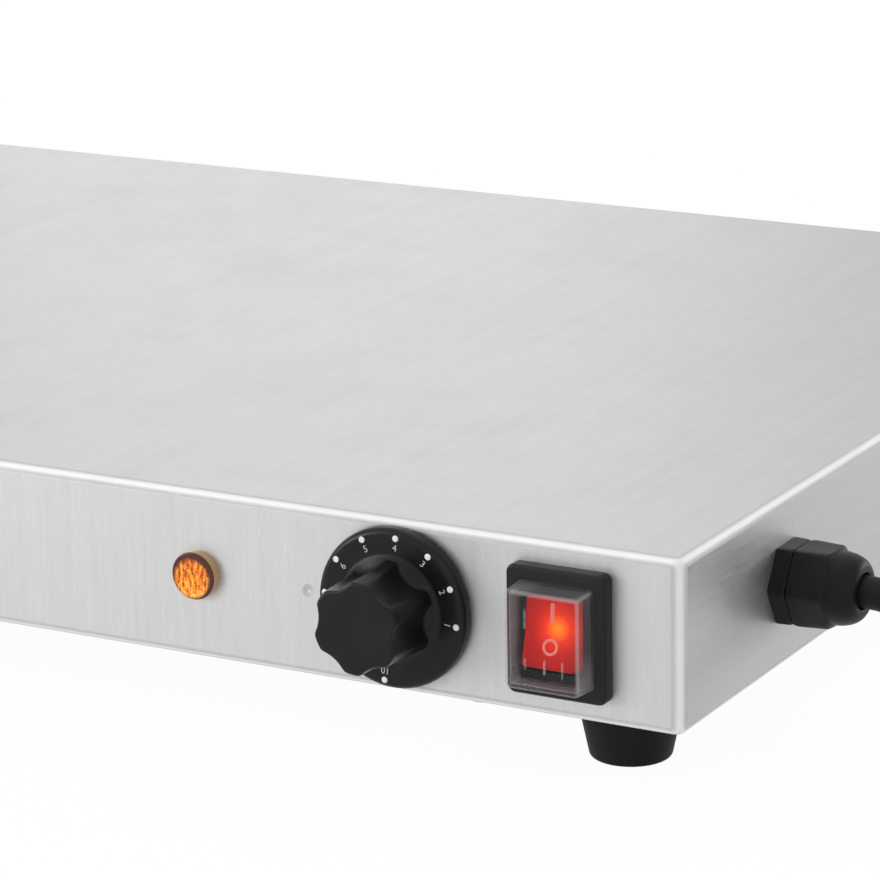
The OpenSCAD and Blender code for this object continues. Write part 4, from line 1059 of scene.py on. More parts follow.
@dataclass(frozen=True)
class Painted:
    """Thin printed or inlaid paint, a little worn."""

    name: str
    colour: Colour
    roughness: float = 0.5
    glow: float = 0.0
    grit: float = 2400
    worn_range: Pair = (0.3, 0.5)
    worn_tone: float = 0.72

    def material(self) -> bpy.types.Material:
        """Builds the material.

        Returns:
            The material.
        """
        finish = Finish(self.name, Metallic=0.0, Roughness=self.roughness, Specular_IOR_Level=0.3,
                        Emission_Strength=self.glow)
        tree = finish.tree
        whole = tree.span(tree.noise(finish.coordinates, (self.grit,) * 3, 3.0, 0.7), *self.worn_range)
        colour = tree.blend(whole, shade(self.colour, self.worn_tone), (*self.colour, 1.0))
        finish.set("Base Color", colour)
        finish.set("Emission Color", colour)
        return finish.material


class Metal(Enum):
    """The plain metals in the tray."""

    ZINC = PlainMetal("zinc_plate", (0.52, 0.53, 0.55), 0.34)
    SPRING = PlainMetal("spring_steel", (0.42, 0.43, 0.45), 0.3)
    ALUMINIUM = PlainMetal("mill_aluminium", (0.72, 0.73, 0.74), 0.42)
    SHEATH = PlainMetal("heated_sheath", (0.12, 0.1, 0.085), 0.5)
    BRASS = PlainMetal("plain_brass", (0.62, 0.42, 0.14), 0.28)
    COPPER = PlainMetal("drawn_copper", (0.7, 0.32, 0.18), 0.3)
    NICKEL = PlainMetal("nickel_plate", (0.66, 0.65, 0.62), 0.16)


class Plastic(Enum):
    """The plastics and rubbers in the tray."""

    DIAL = Moulded("dial_phenolic", (0.0065, 0.0065, 0.007), 0.3, 0.2, 3e-6)
    FRAME = Moulded("switch_frame", (0.0065, 0.0065, 0.007), 0.38, 0.22, 4e-6)
    NYLON = Moulded("gland_nylon", (0.006, 0.006, 0.0064), 0.42, 0.15, 8e-6, 0.7)
    FOOT = Moulded("foot_rubber", (0.008, 0.008, 0.008), 0.62, 0.12, 1.2e-5, 0.8)
    CORD = Moulded("cord_jacket", (0.007, 0.007, 0.007), 0.52, 0.16, 1e-5, 0.8)
    SEAL = Moulded("gland_seal", (0.01, 0.01, 0.01), 0.7, 0.12, 1e-5)
    IVORY = Moulded("ivory_plastic", (0.68, 0.62, 0.48), 0.5, 0.35, 6e-6)
    BEAD = Moulded("steatite_bead", (0.72, 0.68, 0.58), 0.75, 0.25, 2e-5)
    BROWN = Moulded("brown_insulation", (0.16, 0.06, 0.025), 0.45, 0.3, 4e-6)
    BLUE = Moulded("blue_insulation", (0.02, 0.08, 0.35), 0.45, 0.3, 4e-6)
    GREEN = Moulded("green_insulation", (0.18, 0.36, 0.03), 0.45, 0.3, 4e-6)
    CUTOUT = Moulded("cutout_phenolic", (0.03, 0.018, 0.012), 0.5, 0.3, 8e-6)


class Finishes:
    """Every finish of the tray, each built when it is first asked for."""

    def __init__(self) -> None:
        """Starts with none built."""
        self._made: dict[str, bpy.types.Material] = {}

    def get(self, kind: object) -> bpy.types.Material:
        """The material of a finish.

        Args:
            kind: A finish, or a member of Metal or Plastic.

        Returns:
            The material, built once.
        """
        recipe = kind.value if isinstance(kind, Enum) else kind
        if recipe.name not in self._made:
            self._made[recipe.name] = recipe.material()
        return self._made[recipe.name]


FINISHES = Finishes()


# ------------------------------------------------------------------ studio


def set_pose(thing: bpy.types.Object, right: np.ndarray, up: np.ndarray, back: np.ndarray,
             where: Sequence[float]) -> None:
    """Turns and places a camera or a lamp, and puts it into the scene.

    Args:
        thing: The camera or the lamp, which looks away from its back.
        right: Its right, as a unit vector.
        up: Its top, as a unit vector.
        back: Its back, as a unit vector.
        where: Its place in metres.
    """
    pose = np.eye(4)
    pose[:3] = np.column_stack([right, up, back, where])
    thing.matrix_world = Matrix(pose.tolist())
    bpy.context.scene.collection.objects.link(thing)


@dataclass(frozen=True)
class Softbox:
    """A soft rectangular lamp: its place and the point it faces in metres, its size and its watts."""

    name: str
    where: Point
    aim: Point
    size: Pair
    watts: float

    def make(self) -> None:
        """Makes the lamp, with two of its edges level."""
        data = bpy.data.lights.new(self.name, "AREA")
        data.shape = "RECTANGLE"
        data.size, data.size_y = self.size
        data.energy = self.watts
        away = np.subtract(self.where, self.aim)
        back = away / np.linalg.norm(away)
        right = np.cross([0.0, 0.0, 1.0], back)
        right = right / np.linalg.norm(right)
        set_pose(bpy.data.objects.new(self.name, data), right, np.cross(back, right), back, self.where)


@dataclass
class Studio:
    """The photograph's camera, a white floor, and soft lights.

    The focal length and the image's width are in pixels, and the turn, the tilt and the roll in
    degrees. The offset is the tray's near top corner seen from the camera, in heights of its side.
    """

    focal: float = 3962.24
    image_width: float = 880.0
    sensor: float = 36.0
    turn: float = 29.2208
    tilt: float = 15.7976
    roll: float = -1.0462
    offset: Point = (1.279493, -0.639268, 20.954305)
    side_height: float = 45.5 * MM
    nearest: float = 0.01
    farthest: float = 50.0
    floor_size: float = 14.0
    floor_tone: float = 0.95
    floor_white: float = 0.96
    surround: float = 0.75
    lamps: tuple[Softbox, ...] = (
        Softbox("key_softbox", (-1.3, -1.9, 1.7), (0.1, 0.0, 0.03), (1.6, 1.2), 7.0),
        Softbox("overhead_softbox", (-0.2, 0.2, 2.2), (0.0, 0.05, 0.03), (2.0, 1.6), 6.0),
        Softbox("front_softbox", (-1.05, -1.25, 0.32), (0.0, -0.16, 0.04), (0.7, 0.5), 9.5),
        Softbox("back_left_softbox", (-1.25, 2.2, 0.75), (-0.05, 0.0, 0.06), (0.9, 0.6), 3.3),
        Softbox("back_right_softbox", (1.33, 1.75, 0.35), (0.3, -0.05, 0.04), (1.0, 0.6), 10.5),
        Softbox("right_glint", (1.4, -2.1, 1.6), (0.25, -0.16, 0.04), (0.35, 0.35), 2.0),
    )

    def make_camera(self) -> None:
        """Sets the camera where the photograph was taken from, by its turn, tilt, roll and offset."""
        turn, tilt, roll = (math.radians(angle) for angle in (self.turn, self.tilt, self.roll))
        forward = np.array([-math.sin(turn) * math.cos(tilt), math.cos(turn) * math.cos(tilt),
                            -math.sin(tilt)])
        level = np.array([math.cos(turn), math.sin(turn), 0.0])
        upright = np.cross(level, forward)
        right = math.cos(roll) * level + math.sin(roll) * upright
        up = -math.sin(roll) * level + math.cos(roll) * upright
        low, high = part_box("top_shell")
        x, y, z = self.offset
        eye = np.array([high.x, low.y, high.z]) - self.side_height * (x * right + y * up + z * forward)
        data = bpy.data.cameras.new("photo_camera")
        data.sensor_width = self.sensor
        data.lens = self.focal / self.image_width * self.sensor
        data.clip_start, data.clip_end = self.nearest, self.farthest
        camera = bpy.data.objects.new("photo_camera", data)
        set_pose(camera, right, up, -forward, eye)
        bpy.context.scene.camera = camera

    @staticmethod
    def seen_or_lit(tree: Tree, seen: Socket, lit: Socket, output: bpy.types.Node) -> None:
        """Shows one shader to the eye and in reflections, and another to every other ray."""
        path = tree.add("ShaderNodeLightPath")
        direct = tree.math("MAXIMUM", path.outputs["Is Camera Ray"],
                           tree.math("MAXIMUM", path.outputs["Is Glossy Ray"],
                                     path.outputs["Is Transmission Ray"]))
        mix = tree.add("ShaderNodeMixShader")
        for socket, value in zip(mix.inputs, (direct, lit, seen)):
            tree.feed(value, socket)
        tree.feed(mix.outputs[0], output.inputs["Surface"])

    def make_world(self) -> None:
        """A white surround, and a dimmer one that lights the tray."""
        world = bpy.data.worlds.new("studio")
        world.use_nodes = True
        bpy.context.scene.world = world
        nodes, tree = world.node_tree.nodes, Tree(world.node_tree)
        seen, lit = nodes["Background"], tree.add("ShaderNodeBackground")
        for background, strength in ((seen, 1.0), (lit, self.surround)):
            tree.feed(grey(1.0), background.inputs["Color"])
            tree.feed(strength, background.inputs["Strength"])
        self.seen_or_lit(tree, seen.outputs[0], lit.outputs[0], nodes["World Output"])

    def make_floor(self) -> None:
        """A floor that is nearly all white by itself, and keeps the tray's soft shadow."""
        mesh = bpy.data.meshes.new("floor")
        half = self.floor_size / 2
        corners = [(-half, -half, 0), (half, -half, 0), (half, half, 0), (-half, half, 0)]
        mesh.from_pydata(corners, [], [(0, 1, 2, 3)])
        floor = bpy.data.objects.new("floor", mesh)
        bpy.context.scene.collection.objects.link(floor)
        finish = Finish("studio_floor", Base_Color=grey(self.floor_tone), Roughness=0.9,
                        Specular_IOR_Level=0.1)
        tree, plain = finish.tree, finish.shader.outputs[0]
        white, mostly_white = tree.add("ShaderNodeEmission"), tree.add("ShaderNodeMixShader")
        tree.feed(1.0, white.inputs["Strength"])
        for socket, value in zip(mostly_white.inputs, (self.floor_white, plain, white.outputs[0])):
            tree.feed(value, socket)
        output = finish.material.node_tree.nodes["Material Output"]
        self.seen_or_lit(tree, mostly_white.outputs[0], plain, output)
        mesh.materials.append(finish.material)

    def build(self) -> None:
        """Makes the surround, the floor and the lamps."""
        bpy.context.scene.view_settings.view_transform = "Standard"
        self.make_world()
        self.make_floor()
        for lamp in self.lamps:
            lamp.make()


# ------------------------------------------------------------------ casing and feet


@dataclass(frozen=True)
class CrossScrew:
    """A pan-head screw with a cross recess, its head above z = 0 and its shank below."""

    head_radius: float = 3.7
    head_height: float = 1.4
    rim_share: float = 0.62
    cross: float = 2.1
    cross_depth: float = 0.9
    slot_share: float = 0.2
    wall_share: float = 0.35
    end_share: float = 0.5
    shank_radius: float = 1.8
    shank_length: float = 6.0

    def surface(self) -> Skin:
        """The screw's surface.

        The head's height at (x, y) is a rounded dome less the recess. The recess is two crossed slots
        whose walls slope, deepest in the middle.

        Returns:
            The surface, in millimetres.
        """
        spokes = circle(72)
        out = np.linspace(0.02, 1.0, 26)[:, None] * self.head_radius
        x, y = out * spokes[:, 0], out * spokes[:, 1]
        fall = np.sqrt(np.clip(1 - (out / self.head_radius) ** 2, 0, 1))
        dome = self.head_height * (self.rim_share + (1 - self.rim_share) * fall)
        width = self.slot_share * self.cross
        arm = np.minimum(np.abs(x), np.abs(y)) - width
        end = np.maximum(np.abs(x), np.abs(y)) - self.cross
        inside = np.clip(-np.maximum(arm, end) / (self.wall_share * width), 0, 1)
        recess = self.cross_depth * inside * (1 - self.end_share * np.hypot(x, y) / self.cross)
        r, length = self.shank_radius, self.shank_length
        shank = np.array([[self.head_radius, 0.0], [r, 0.0], [r, 0.3 * r - length], [0.7 * r, -length]])
        return ring_skin(np.concatenate([around(out, dome - recess, 72),
                                         around(shank[:, :1], shank[:, 1:], 72)]))


@dataclass
class Casing:
    """The folded steel casing, its base plate and its screws. The insets are in metres."""

    screw: CrossScrew = CrossScrew()
    end_inset: float = 60 * MM
    edge_inset: float = 9.5 * MM

    def make_base_screws(self) -> None:
        """Eight pan-head screws, seen from below: six along the front and the back, two at the ends."""
        low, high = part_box("top_shell")
        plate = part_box("base_plate")[0].z
        middle = (low.y + high.y) / 2
        half_w, half_d = high.x, (high.y - low.y) / 2
        spots = [(sx * (half_w - self.end_inset), sy * (half_d - self.edge_inset))
                 for sx in (-1, 0, 1) for sy in (-1, 1)]
        spots += [(sx * (half_w - self.edge_inset), 0.0) for sx in (-1, 1)]
        screw = self.screw.surface()
        skins = [screw.at(Axes((x, middle + y, plate), (1, 0, 0), (0, -1, 0), (0, 0, -1))) for x, y in spots]
        piece = make_piece("base_screw_heads", skins[0].join(*skins[1:]), FINISHES.get(Metal.ZINC), "casing")
        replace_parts(piece, "base_screws")

    def build(self) -> None:
        """Dresses the sheet metal and makes the screws."""
        dress(FINISHES.get(BrushedSteel()), "top_shell")
        dress(FINISHES.get(Metal.ZINC), "base_plate")
        self.make_base_screws()


@dataclass
class Feet:
    """Four tapered rubber feet, each with a screw in its recess. Sizes are in millimetres."""

    top_radius: float = 14
    bottom_radius: float = 10.5
    edge: float = 1.4
    recess_radius: float = 6.2
    recess_depth: float = 8
    recess_edge: float = 0.7
    small_edge: float = 0.5
    bore: float = 2.6

    def profile(self, height: float) -> np.ndarray:
        """The foot's closed half section, from the recess round to the bore."""
        corners = [(self.bore, self.recess_depth), (self.recess_radius, self.recess_depth),
                   (self.recess_radius, 0), (self.bottom_radius, 0),
                   (self.top_radius, height), (self.bore, height)]
        return rounded(corners, [self.small_edge, self.recess_edge, self.edge, self.small_edge], 7)

    def build(self) -> None:
        """Makes each foot and dresses the screws, washers and nuts."""
        for name in ("foot_front_left", "foot_front_right", "foot_rear_left", "foot_rear_right"):
            low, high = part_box(name)
            axes = Axes(((low.x + high.x) / 2, (low.y + high.y) / 2, 0.0))
            skin = lathe(self.profile((high.z - low.z) / MM), 96, looped=True)
            piece = make_piece(f"rubber_{name}", skin.at(axes), FINISHES.get(Plastic.FOOT), "casing")
            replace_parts(piece, name)
        dress(FINISHES.get(Metal.ZINC), "foot_washers", "foot_nuts", "foot_screws")


# ------------------------------------------------------------------ dial


@dataclass
class Dial:
    """The control dial: a skirt with ten dots and figures, and a fluted grip.

    Sizes are in millimetres and turns in degrees.
    """

    skirt_radius: float = 21.1
    skirt_gap: float = 0.8
    skirt_front: float = 4.2
    shoulder: float = 1.8
    hub_radius: float = 6.5
    hollow_radius: float = 19.5
    hollow_depth: float = 2.8
    rim_edge: float = 0.3
    grip_root: float = 13.2
    grip_face: float = 12.2
    root_fillet: float = 3.0
    face_edge: float = 0.9
    reach: float = 22.0
    flutes: int = 6
    first_flute: float = 54.0
    flute_radius: float = 9.0
    flute_softness: float = 0.32
    flute_foot: float = 2.2
    depth_at_face: float = 1.5
    depth_at_root: float = 2.6
    dots: int = 10
    first_dot: float = -6.0
    dot_step: float = 30.0
    dot_circle: float = 18.96
    dot_radius: float = 0.85
    dot_rise: float = 0.22
    dot_root: float = 0.3
    dot_edge: float = 0.2
    figure_circle: float = 16.4
    figure_height: float = 1.75
    figure_depth: float = 0.05
    figure_rise: float = 0.03

    def outline(self) -> np.ndarray:
        """Radius and height along the plain dial, from its back to its face."""
        front, gap, fillet_end = self.skirt_front, self.skirt_gap, self.grip_root + self.root_fillet
        corners = [(0.0, gap), (self.hub_radius, gap), (self.hub_radius, self.hollow_depth),
                   (self.hollow_radius, self.hollow_depth), (self.hollow_radius, gap),
                   (self.skirt_radius, gap), (self.skirt_radius, front), (fillet_end, front)]
        back = finer(rounded(corners, [0, 0, 0, 0, self.rim_edge, self.shoulder], 8), 1.5)
        corners = [(fillet_end, front), (self.grip_root, front), (self.grip_face, self.reach),
                   (0.0, self.reach)]
        grip = finer(rounded(corners, [self.root_fillet, self.face_edge], 8), 0.9)
        return np.vstack([back[:-1], grip])

    def surface(self) -> Skin:
        """The dial's surface.

        At each height the radius is the smaller of the plain radius and the distance to a round
        flute, blended softly. A flute's distance at angle a from its middle is
        D cos a - sqrt(f^2 - D^2 sin^2 a), where f is the flute's radius and D its axis's distance.
        The flutes run out over the skirt by a smooth step from 0 to 1.

        Returns:
            The surface, in millimetres.
        """
        radius, height = self.outline().T[:, :, None]
        count, step = 240, 2 * np.pi / self.flutes
        away = np.mod(angles(count) - math.radians(self.first_flute) + step / 2, step) - step / 2
        above = height - self.skirt_front
        up = np.clip(above / (self.reach - self.skirt_front), 0, 1)
        depth = self.depth_at_root + (self.depth_at_face - self.depth_at_root) * up
        wall = self.grip_root + (self.grip_face - self.grip_root) * up
        axis = wall + self.flute_radius - depth
        chord = np.maximum(self.flute_radius**2 - (axis * np.sin(away)) ** 2, 0)
        flute = np.where(chord > 0, axis * np.cos(away) - np.sqrt(chord), np.inf)
        foot = np.clip(above / self.flute_foot, 0, 1)
        cut = np.minimum(blunted(wall, flute, self.flute_softness) / wall, 1)
        return ring_skin(around(radius * (1 + (cut - 1) * foot * foot * (3 - 2 * foot)), height, count))

    def spots(self, distance: float) -> list[tuple[float, float, float]]:
        """The turn in radians, the x and the y of each of the dial's marks at a distance."""
        turns = [math.radians(self.first_dot + k * self.dot_step) for k in range(self.dots)]
        return [(a, distance * math.cos(a), distance * math.sin(a)) for a in turns]

    def make_dots(self, axes: Axes) -> None:
        """The raised round dots on the skirt."""
        r, top = self.dot_radius, self.skirt_front + self.dot_rise
        profile = rounded([(r, self.skirt_front - self.dot_root), (r, top), (0, top)], [self.dot_edge], 5)
        dot = lathe(profile, 32)
        dots = [dot.moved(x, y) for _, x, y in self.spots(self.dot_circle)]
        make_piece("dial_dots", dots[0].join(*dots[1:]).at(axes),
                   FINISHES.get(Painted("dial_white", (0.8, 0.8, 0.8))), "dial")

    def make_figures(self, axes: Axes) -> None:
        """The figures 1 to 10, each with its top towards the rim."""
        points, faces, start = [], [], 0
        for k, (a, x, y) in enumerate(self.spots(self.figure_circle)):
            curve = bpy.data.curves.new("figure", "FONT")
            curve.body = str(k + 1)
            curve.size = self.figure_height / FIGURE_SHARE * MM
            curve.align_x, curve.align_y = "CENTER", "CENTER"
            curve.extrude = self.figure_depth * MM
            text = bpy.data.objects.new("figure", curve)
            bpy.context.scene.collection.objects.link(text)
            mesh = bpy.data.meshes.new_from_object(text.evaluated_get(bpy.context.evaluated_depsgraph_get()))
            bpy.data.objects.remove(text)
            spin = np.array([[math.sin(a), -math.cos(a), 0], [math.cos(a), math.sin(a), 0], [0, 0, 1]])
            flat = np.array([v.co for v in mesh.vertices]) / MM
            points.append(flat @ spin + [x, y, self.skirt_front + self.figure_rise])
            faces += [[start + v for v in face.vertices] for face in mesh.polygons]
            start += len(flat)
            bpy.data.meshes.remove(mesh)
        mesh = bpy.data.meshes.new("dial_figures")
        mesh.from_pydata(axes.place(np.vstack(points)).tolist(), [], faces)
        mesh.materials.append(FINISHES.get(Painted("dial_figure_grey", (0.5, 0.5, 0.5))))
        piece = bpy.data.objects.new("dial_figures", mesh)
        bpy.context.scene.collection.objects.link(piece)
        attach(piece, "dial")
        LOG.info("dial_figures: %d faces on dial", len(faces))

    def build(self) -> None:
        """Makes the dial, its dots and its figures, and dresses the shaft and the leaf spring."""
        axes = front_axes("control_knob")
        knob = make_piece("fluted_dial", self.surface().at(axes), FINISHES.get(Plastic.DIAL), "dial")
        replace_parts(knob, "control_knob")
        self.make_dots(axes)
        self.make_figures(axes)
        dress(FINISHES.get(Metal.BRASS), "thermostat_shaft")
        dress(FINISHES.get(Metal.SPRING), "knob_leaf_spring")


# ------------------------------------------------------------------ pilot lamp


@dataclass
class PilotLamp:
    """The amber pilot lamp: a lens cut into small prisms, and the neck behind it. In millimetres."""

    radius: float = 6.4
    reach: float = 2.6
    edge: float = 0.5
    rim: float = 1.2
    face_start: float = 0.75
    prism: float = 0.95
    prism_depth: float = 0.3
    prism_area: float = 5.3
    prism_fade: float = 0.4
    prism_turns: Pair = (0.0, 65.0)
    # The middle of the lens's material, off the axis: round it the material paints a dark rim as a painted
    # shadow, widest at the upper right.
    rim_shadow_middle: Pair = (-0.45, -0.75)
    neck_radius: float = 4.0
    neck_length: float = 4.0

    def surface(self) -> Skin:
        """The lens.

        Its face sinks along two crossed sets of lines inside a smooth rim. The sink is the larger
        of two triangle waves, so small four-sided prisms stand between the lines.

        Returns:
            The surface, in millimetres.
        """
        wall = rounded([(self.neck_radius, -self.neck_length), (self.neck_radius, 0), (self.radius, 0),
                        (self.radius, self.reach), (self.radius - self.rim, self.reach)],
                       [0, 0, self.edge], 6)[:-1]
        count = 144
        spokes = circle(count)
        out = np.linspace(self.radius - self.face_start, 0.02, 52)[:, None]
        x, y = out * spokes[:, 0], out * spokes[:, 1]
        phases = [(x * math.cos(a) + y * math.sin(a)) / self.prism for a in np.radians(self.prism_turns)]
        sink = np.maximum(*[np.abs(np.mod(phase, 1) - 0.5) * 2 for phase in phases])
        inside = np.clip((self.prism_area - out) / self.prism_fade, 0, 1)
        face = around(out, self.reach - self.prism_depth * sink * inside, count)
        return ring_skin(np.concatenate([around(wall[:, :1], wall[:, 1:], count), face]))

    def build(self) -> None:
        """Makes the lens and dresses what carries it."""
        axes = front_axes("lamp_lens")
        # The material's middle, round which it paints the rim shadow.
        middle = axes.place(np.array([*self.rim_shadow_middle, self.reach]))
        amber = FINISHES.get(AmberLens("amber_lens", tuple(middle)))
        piece = make_piece("prism_lens", self.surface().at(axes), amber, "casing", sharp=12)
        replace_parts(piece, "lamp_lens")
        dress(FINISHES.get(Plastic.IVORY), "lamp_body")
        dress(FINISHES.get(Plastic.NYLON), "lamp_ring")
        dress(FINISHES.get(Metal.BRASS), "lamp_tabs")


# ------------------------------------------------------------------ rocker switch


@dataclass
class RockerSwitch:
    """The lit rocker in its frame, under a clear cover. Sizes are in millimetres, and the tilt in degrees.

    Each rib has its x and its lower and upper y. The lamp is a point on the switch's axes.
    """

    frame_size: Pair = (27.4, 33.4)
    frame_out: float = 4.0
    frame_corner: float = 2.2
    frame_edge: float = 0.9
    body_size: Pair = (22.0, 28.0)
    body_corner: float = 1.0
    body_depth: float = 19.0
    groove_gap: float = 0.1
    groove_depth: float = 0.05
    groove_width: float = 1.0
    ridge_corner: float = 0.8
    pocket: Pair = (15.0, 19.2)
    pocket_depth: float = 9.0
    pocket_lip: float = 0.35
    lip_corner: float = 0.7
    pocket_corner: float = 0.5
    rocker_size: Pair = (14.6, 17.8)
    rocker_edge: float = 0.8
    rocker_corner: float = 1.0
    rocker_foot: float = -3.0
    pivot_out: float = 1.0
    crown: float = 5.5
    crown_rise: float = 0.9
    valley: float = 0.5
    valley_drop: float = 0.7
    tilt: float = 11.0
    lamp: Point = (1.9, 2.7, 6.6)
    cover_size: Pair = (21.2, 26.2)
    cover_wall: float = 0.8
    cover_front: float = 11.6
    cover_back: float = 3.45
    cover_corner: float = 1.5
    cover_edge: float = 0.9
    cover_taper: float = 0.35
    mark_x: float = 0.3
    mark_lift: Pair = (-0.05, 0.06)
    bar_y: float = 5.3
    bar_size: Pair = (1.0, 5.0)
    bar_corner: float = 0.4
    ring_y: float = -3.2
    ring_radius: float = 2.1
    ring_width: float = 0.65
    ribs: tuple[Point, ...] = ((-5.0, 3.0, 8.0), (-5.0, -7.6, -4.6), (0.3, -8.2, -4.4), (5.2, -8.6, -4.4))
    rib_width: float = 0.35
    rib_height: float = 0.6

    def frame_surface(self) -> Skin:
        """The frame: its body, the flange with a round edge, the cover's groove and the rocker's pocket."""
        w, h = self.frame_size
        rows = [(*self.body_size, self.body_corner, -self.body_depth),
                (*self.body_size, self.body_corner, 0.0), (w, h, self.frame_corner, 0.0)]
        for a in np.linspace(0, np.pi / 2, 7):
            inset, rise = self.frame_edge * (1 - math.cos(a)), self.frame_edge * math.sin(a)
            rows.append((w - 2 * inset, h - 2 * inset, self.frame_corner - inset,
                         self.frame_out - self.frame_edge + rise))
        w, h = (side + 2 * self.groove_gap for side in self.cover_size)
        floor = self.cover_back - self.groove_depth
        rows += [(w, h, self.cover_corner + self.groove_gap, z) for z in (self.frame_out, floor)]
        w, h = w - 2 * self.groove_width, h - 2 * self.groove_width
        rows += [(w, h, self.ridge_corner, z) for z in (floor, self.frame_out)]
        (w, h), lip, corner = self.pocket, self.pocket_lip, self.pocket_corner
        rows += [(w + 2 * lip, h + 2 * lip, self.lip_corner, self.frame_out),
                 (w, h, corner, self.frame_out - lip), (w, h, corner, -self.pocket_depth)]
        return boxed(rows)

    def crown_height(self, y: np.ndarray) -> np.ndarray:
        """Height of the rocker's crown: two flat paddles that meet in a soft valley at y = 0."""
        slope = self.crown_rise / (self.rocker_size[1] / 2)
        return self.crown + slope * (np.sqrt(y**2 + self.valley) - self.valley_drop)

    def on_crown(self, ring: np.ndarray, lift: float) -> np.ndarray:
        """A flat ring of points, raised on to the crown and a lift above it."""
        return np.column_stack([ring, self.crown_height(ring[:, 1]) + lift])

    def tilted(self, skin: Skin) -> Skin:
        """A skin turned about the pivot as the rocker rests."""
        a = math.radians(-self.tilt)
        spin = np.array([[1, 0, 0], [0, math.cos(a), math.sin(a)], [0, -math.sin(a), math.cos(a)]])
        return skin.on(skin.points @ spin + [0, 0, self.pivot_out])

    def rocker_surface(self) -> Skin:
        """The rocker: walls, rounded rims and a dished crown, about its pivot."""
        (w, h), e, corner = self.rocker_size, self.rocker_edge, self.rocker_corner
        foot = rounded_rect(w, h, corner, side=18)
        rings = [np.insert(foot, 2, self.rocker_foot, axis=1)]
        for a in np.linspace(0, np.pi / 2, 7):
            inset = e * (1 - math.cos(a))
            ring = rounded_rect(w - 2 * inset, h - 2 * inset, corner, side=18)
            rings.append(self.on_crown(ring, e * (math.sin(a) - 1)))
        for share in np.linspace(0.9, 0.04, 14):
            ring = rounded_rect((w - 2 * e) * share, (h - 2 * e) * share, 0.3 * share, side=18)
            rings.append(self.on_crown(ring, 0.0))
        return self.tilted(ring_skin(np.stack(rings)))

    def mark(self, inner: np.ndarray, outer: np.ndarray, middle: float) -> Skin:
        """A thin raised mark on the crown, between two rings of points.

        Args:
            inner: The mark's inner ring, one flat point per row.
            outer: Its outer ring, with as many points.
            middle: How far up the rocker the mark's middle lies.

        Returns:
            The mark's surface.
        """
        low, high = self.mark_lift
        rings = [self.on_crown(ring + [self.mark_x, middle], lift)
                 for ring, lift in ((inner, low), (inner, high), (outer, high), (outer, low))]
        return self.tilted(ring_skin(np.stack(rings), looped=True))

    def marks(self) -> Skin:
        """The bar of ON on the upper paddle and the ring of OFF on the lower one."""
        ring, bar = circle(40), rounded_rect(*self.bar_size, self.bar_corner)
        off = self.mark(ring * (self.ring_radius - self.ring_width), ring * self.ring_radius, self.ring_y)
        return off.join(self.mark(bar * [0.1, 0.8], bar, self.bar_y))

    def cover_side(self, inset: float) -> list[tuple[float, float, float, float]]:
        """Rectangles of one side of the cover's wall, from back to front.

        Args:
            inset: How far the side lies inside the outer one.

        Returns:
            Width, height, corner radius and place of each.
        """
        (w, h), edge = self.cover_size, self.cover_edge
        corner, front = self.cover_corner - inset, self.cover_front - inset
        w, h = w - 2 * inset, h - 2 * inset
        rows = [(w, h, corner, self.cover_back)]
        for a in np.linspace(0, np.pi / 2, 6):
            turned = edge * (1 - math.cos(a))
            drawn_in = 2 * (self.cover_taper + turned)
            rows.append((w - drawn_in, h - drawn_in, max(corner - 0.4 * turned, 0.4),
                         front - edge + edge * math.sin(a)))
        return rows + [(w * 0.06, h * 0.06, 0.05, front)]

    def cover_surface(self) -> Skin:
        """The clear cover: a box of even wall, open behind, with rounded front edges."""
        return boxed(self.cover_side(0.0)[::-1] + self.cover_side(self.cover_wall))

    def rib_surface(self) -> Skin:
        """Short low ribs on the inside of the cover's front."""
        back, width = self.cover_front - self.cover_wall, self.rib_width
        parts = []
        for x, low, high in self.ribs:
            full = (width, high - low, 0.4 * width)
            rows = [(*full, back + 0.02), (*full, back - self.rib_height + 0.1),
                    (*[0.9 * size for size in full], back - self.rib_height)]
            parts.append(boxed(rows).moved(x, (low + high) / 2))
        return parts[0].join(*parts[1:])

    def build(self) -> None:
        """Makes the frame, the rocker, its marks and the cover, and dresses what lies behind."""
        axes = front_axes("switch_housing")
        housing = make_piece("switch_frame", self.frame_surface().at(axes), FINISHES.get(Plastic.FRAME),
                             "casing")
        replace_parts(housing, "switch_housing")
        red = LitRocker("red_rocker", tuple(axes.place(np.array(self.lamp))))
        rocker = make_piece("lit_rocker", self.rocker_surface().at(axes), FINISHES.get(red), "rocker")
        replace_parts(rocker, "switch_rocker")
        # The white marks get a pink colour and a faint glow: the lit rocker's red glow painted into them.
        make_piece("rocker_marks", self.marks().at(axes),
                   FINISHES.get(Painted("rocker_white_red_glow", (0.62, 0.17, 0.14), 0.4, 0.15)), "rocker")
        low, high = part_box("switch_cover")
        vinyl = ClearVinyl("clear_vinyl", tuple((low + high) / 2), tuple(high - low))
        cover = make_piece("clear_cover", self.cover_surface().at(axes), FINISHES.get(vinyl), "casing",
                           sharp=60)
        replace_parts(cover, "switch_cover")
        make_piece("cover_ribs", self.rib_surface().at(axes), FINISHES.get(MilkyEdge()), "casing")
        dress(FINISHES.get(Painted("neon_glow", (1.0, 0.4, 0.12), 0.2, 2.0)), "switch_neon")
        dress(FINISHES.get(Metal.BRASS), "switch_tabs")


# ------------------------------------------------------------------ gland


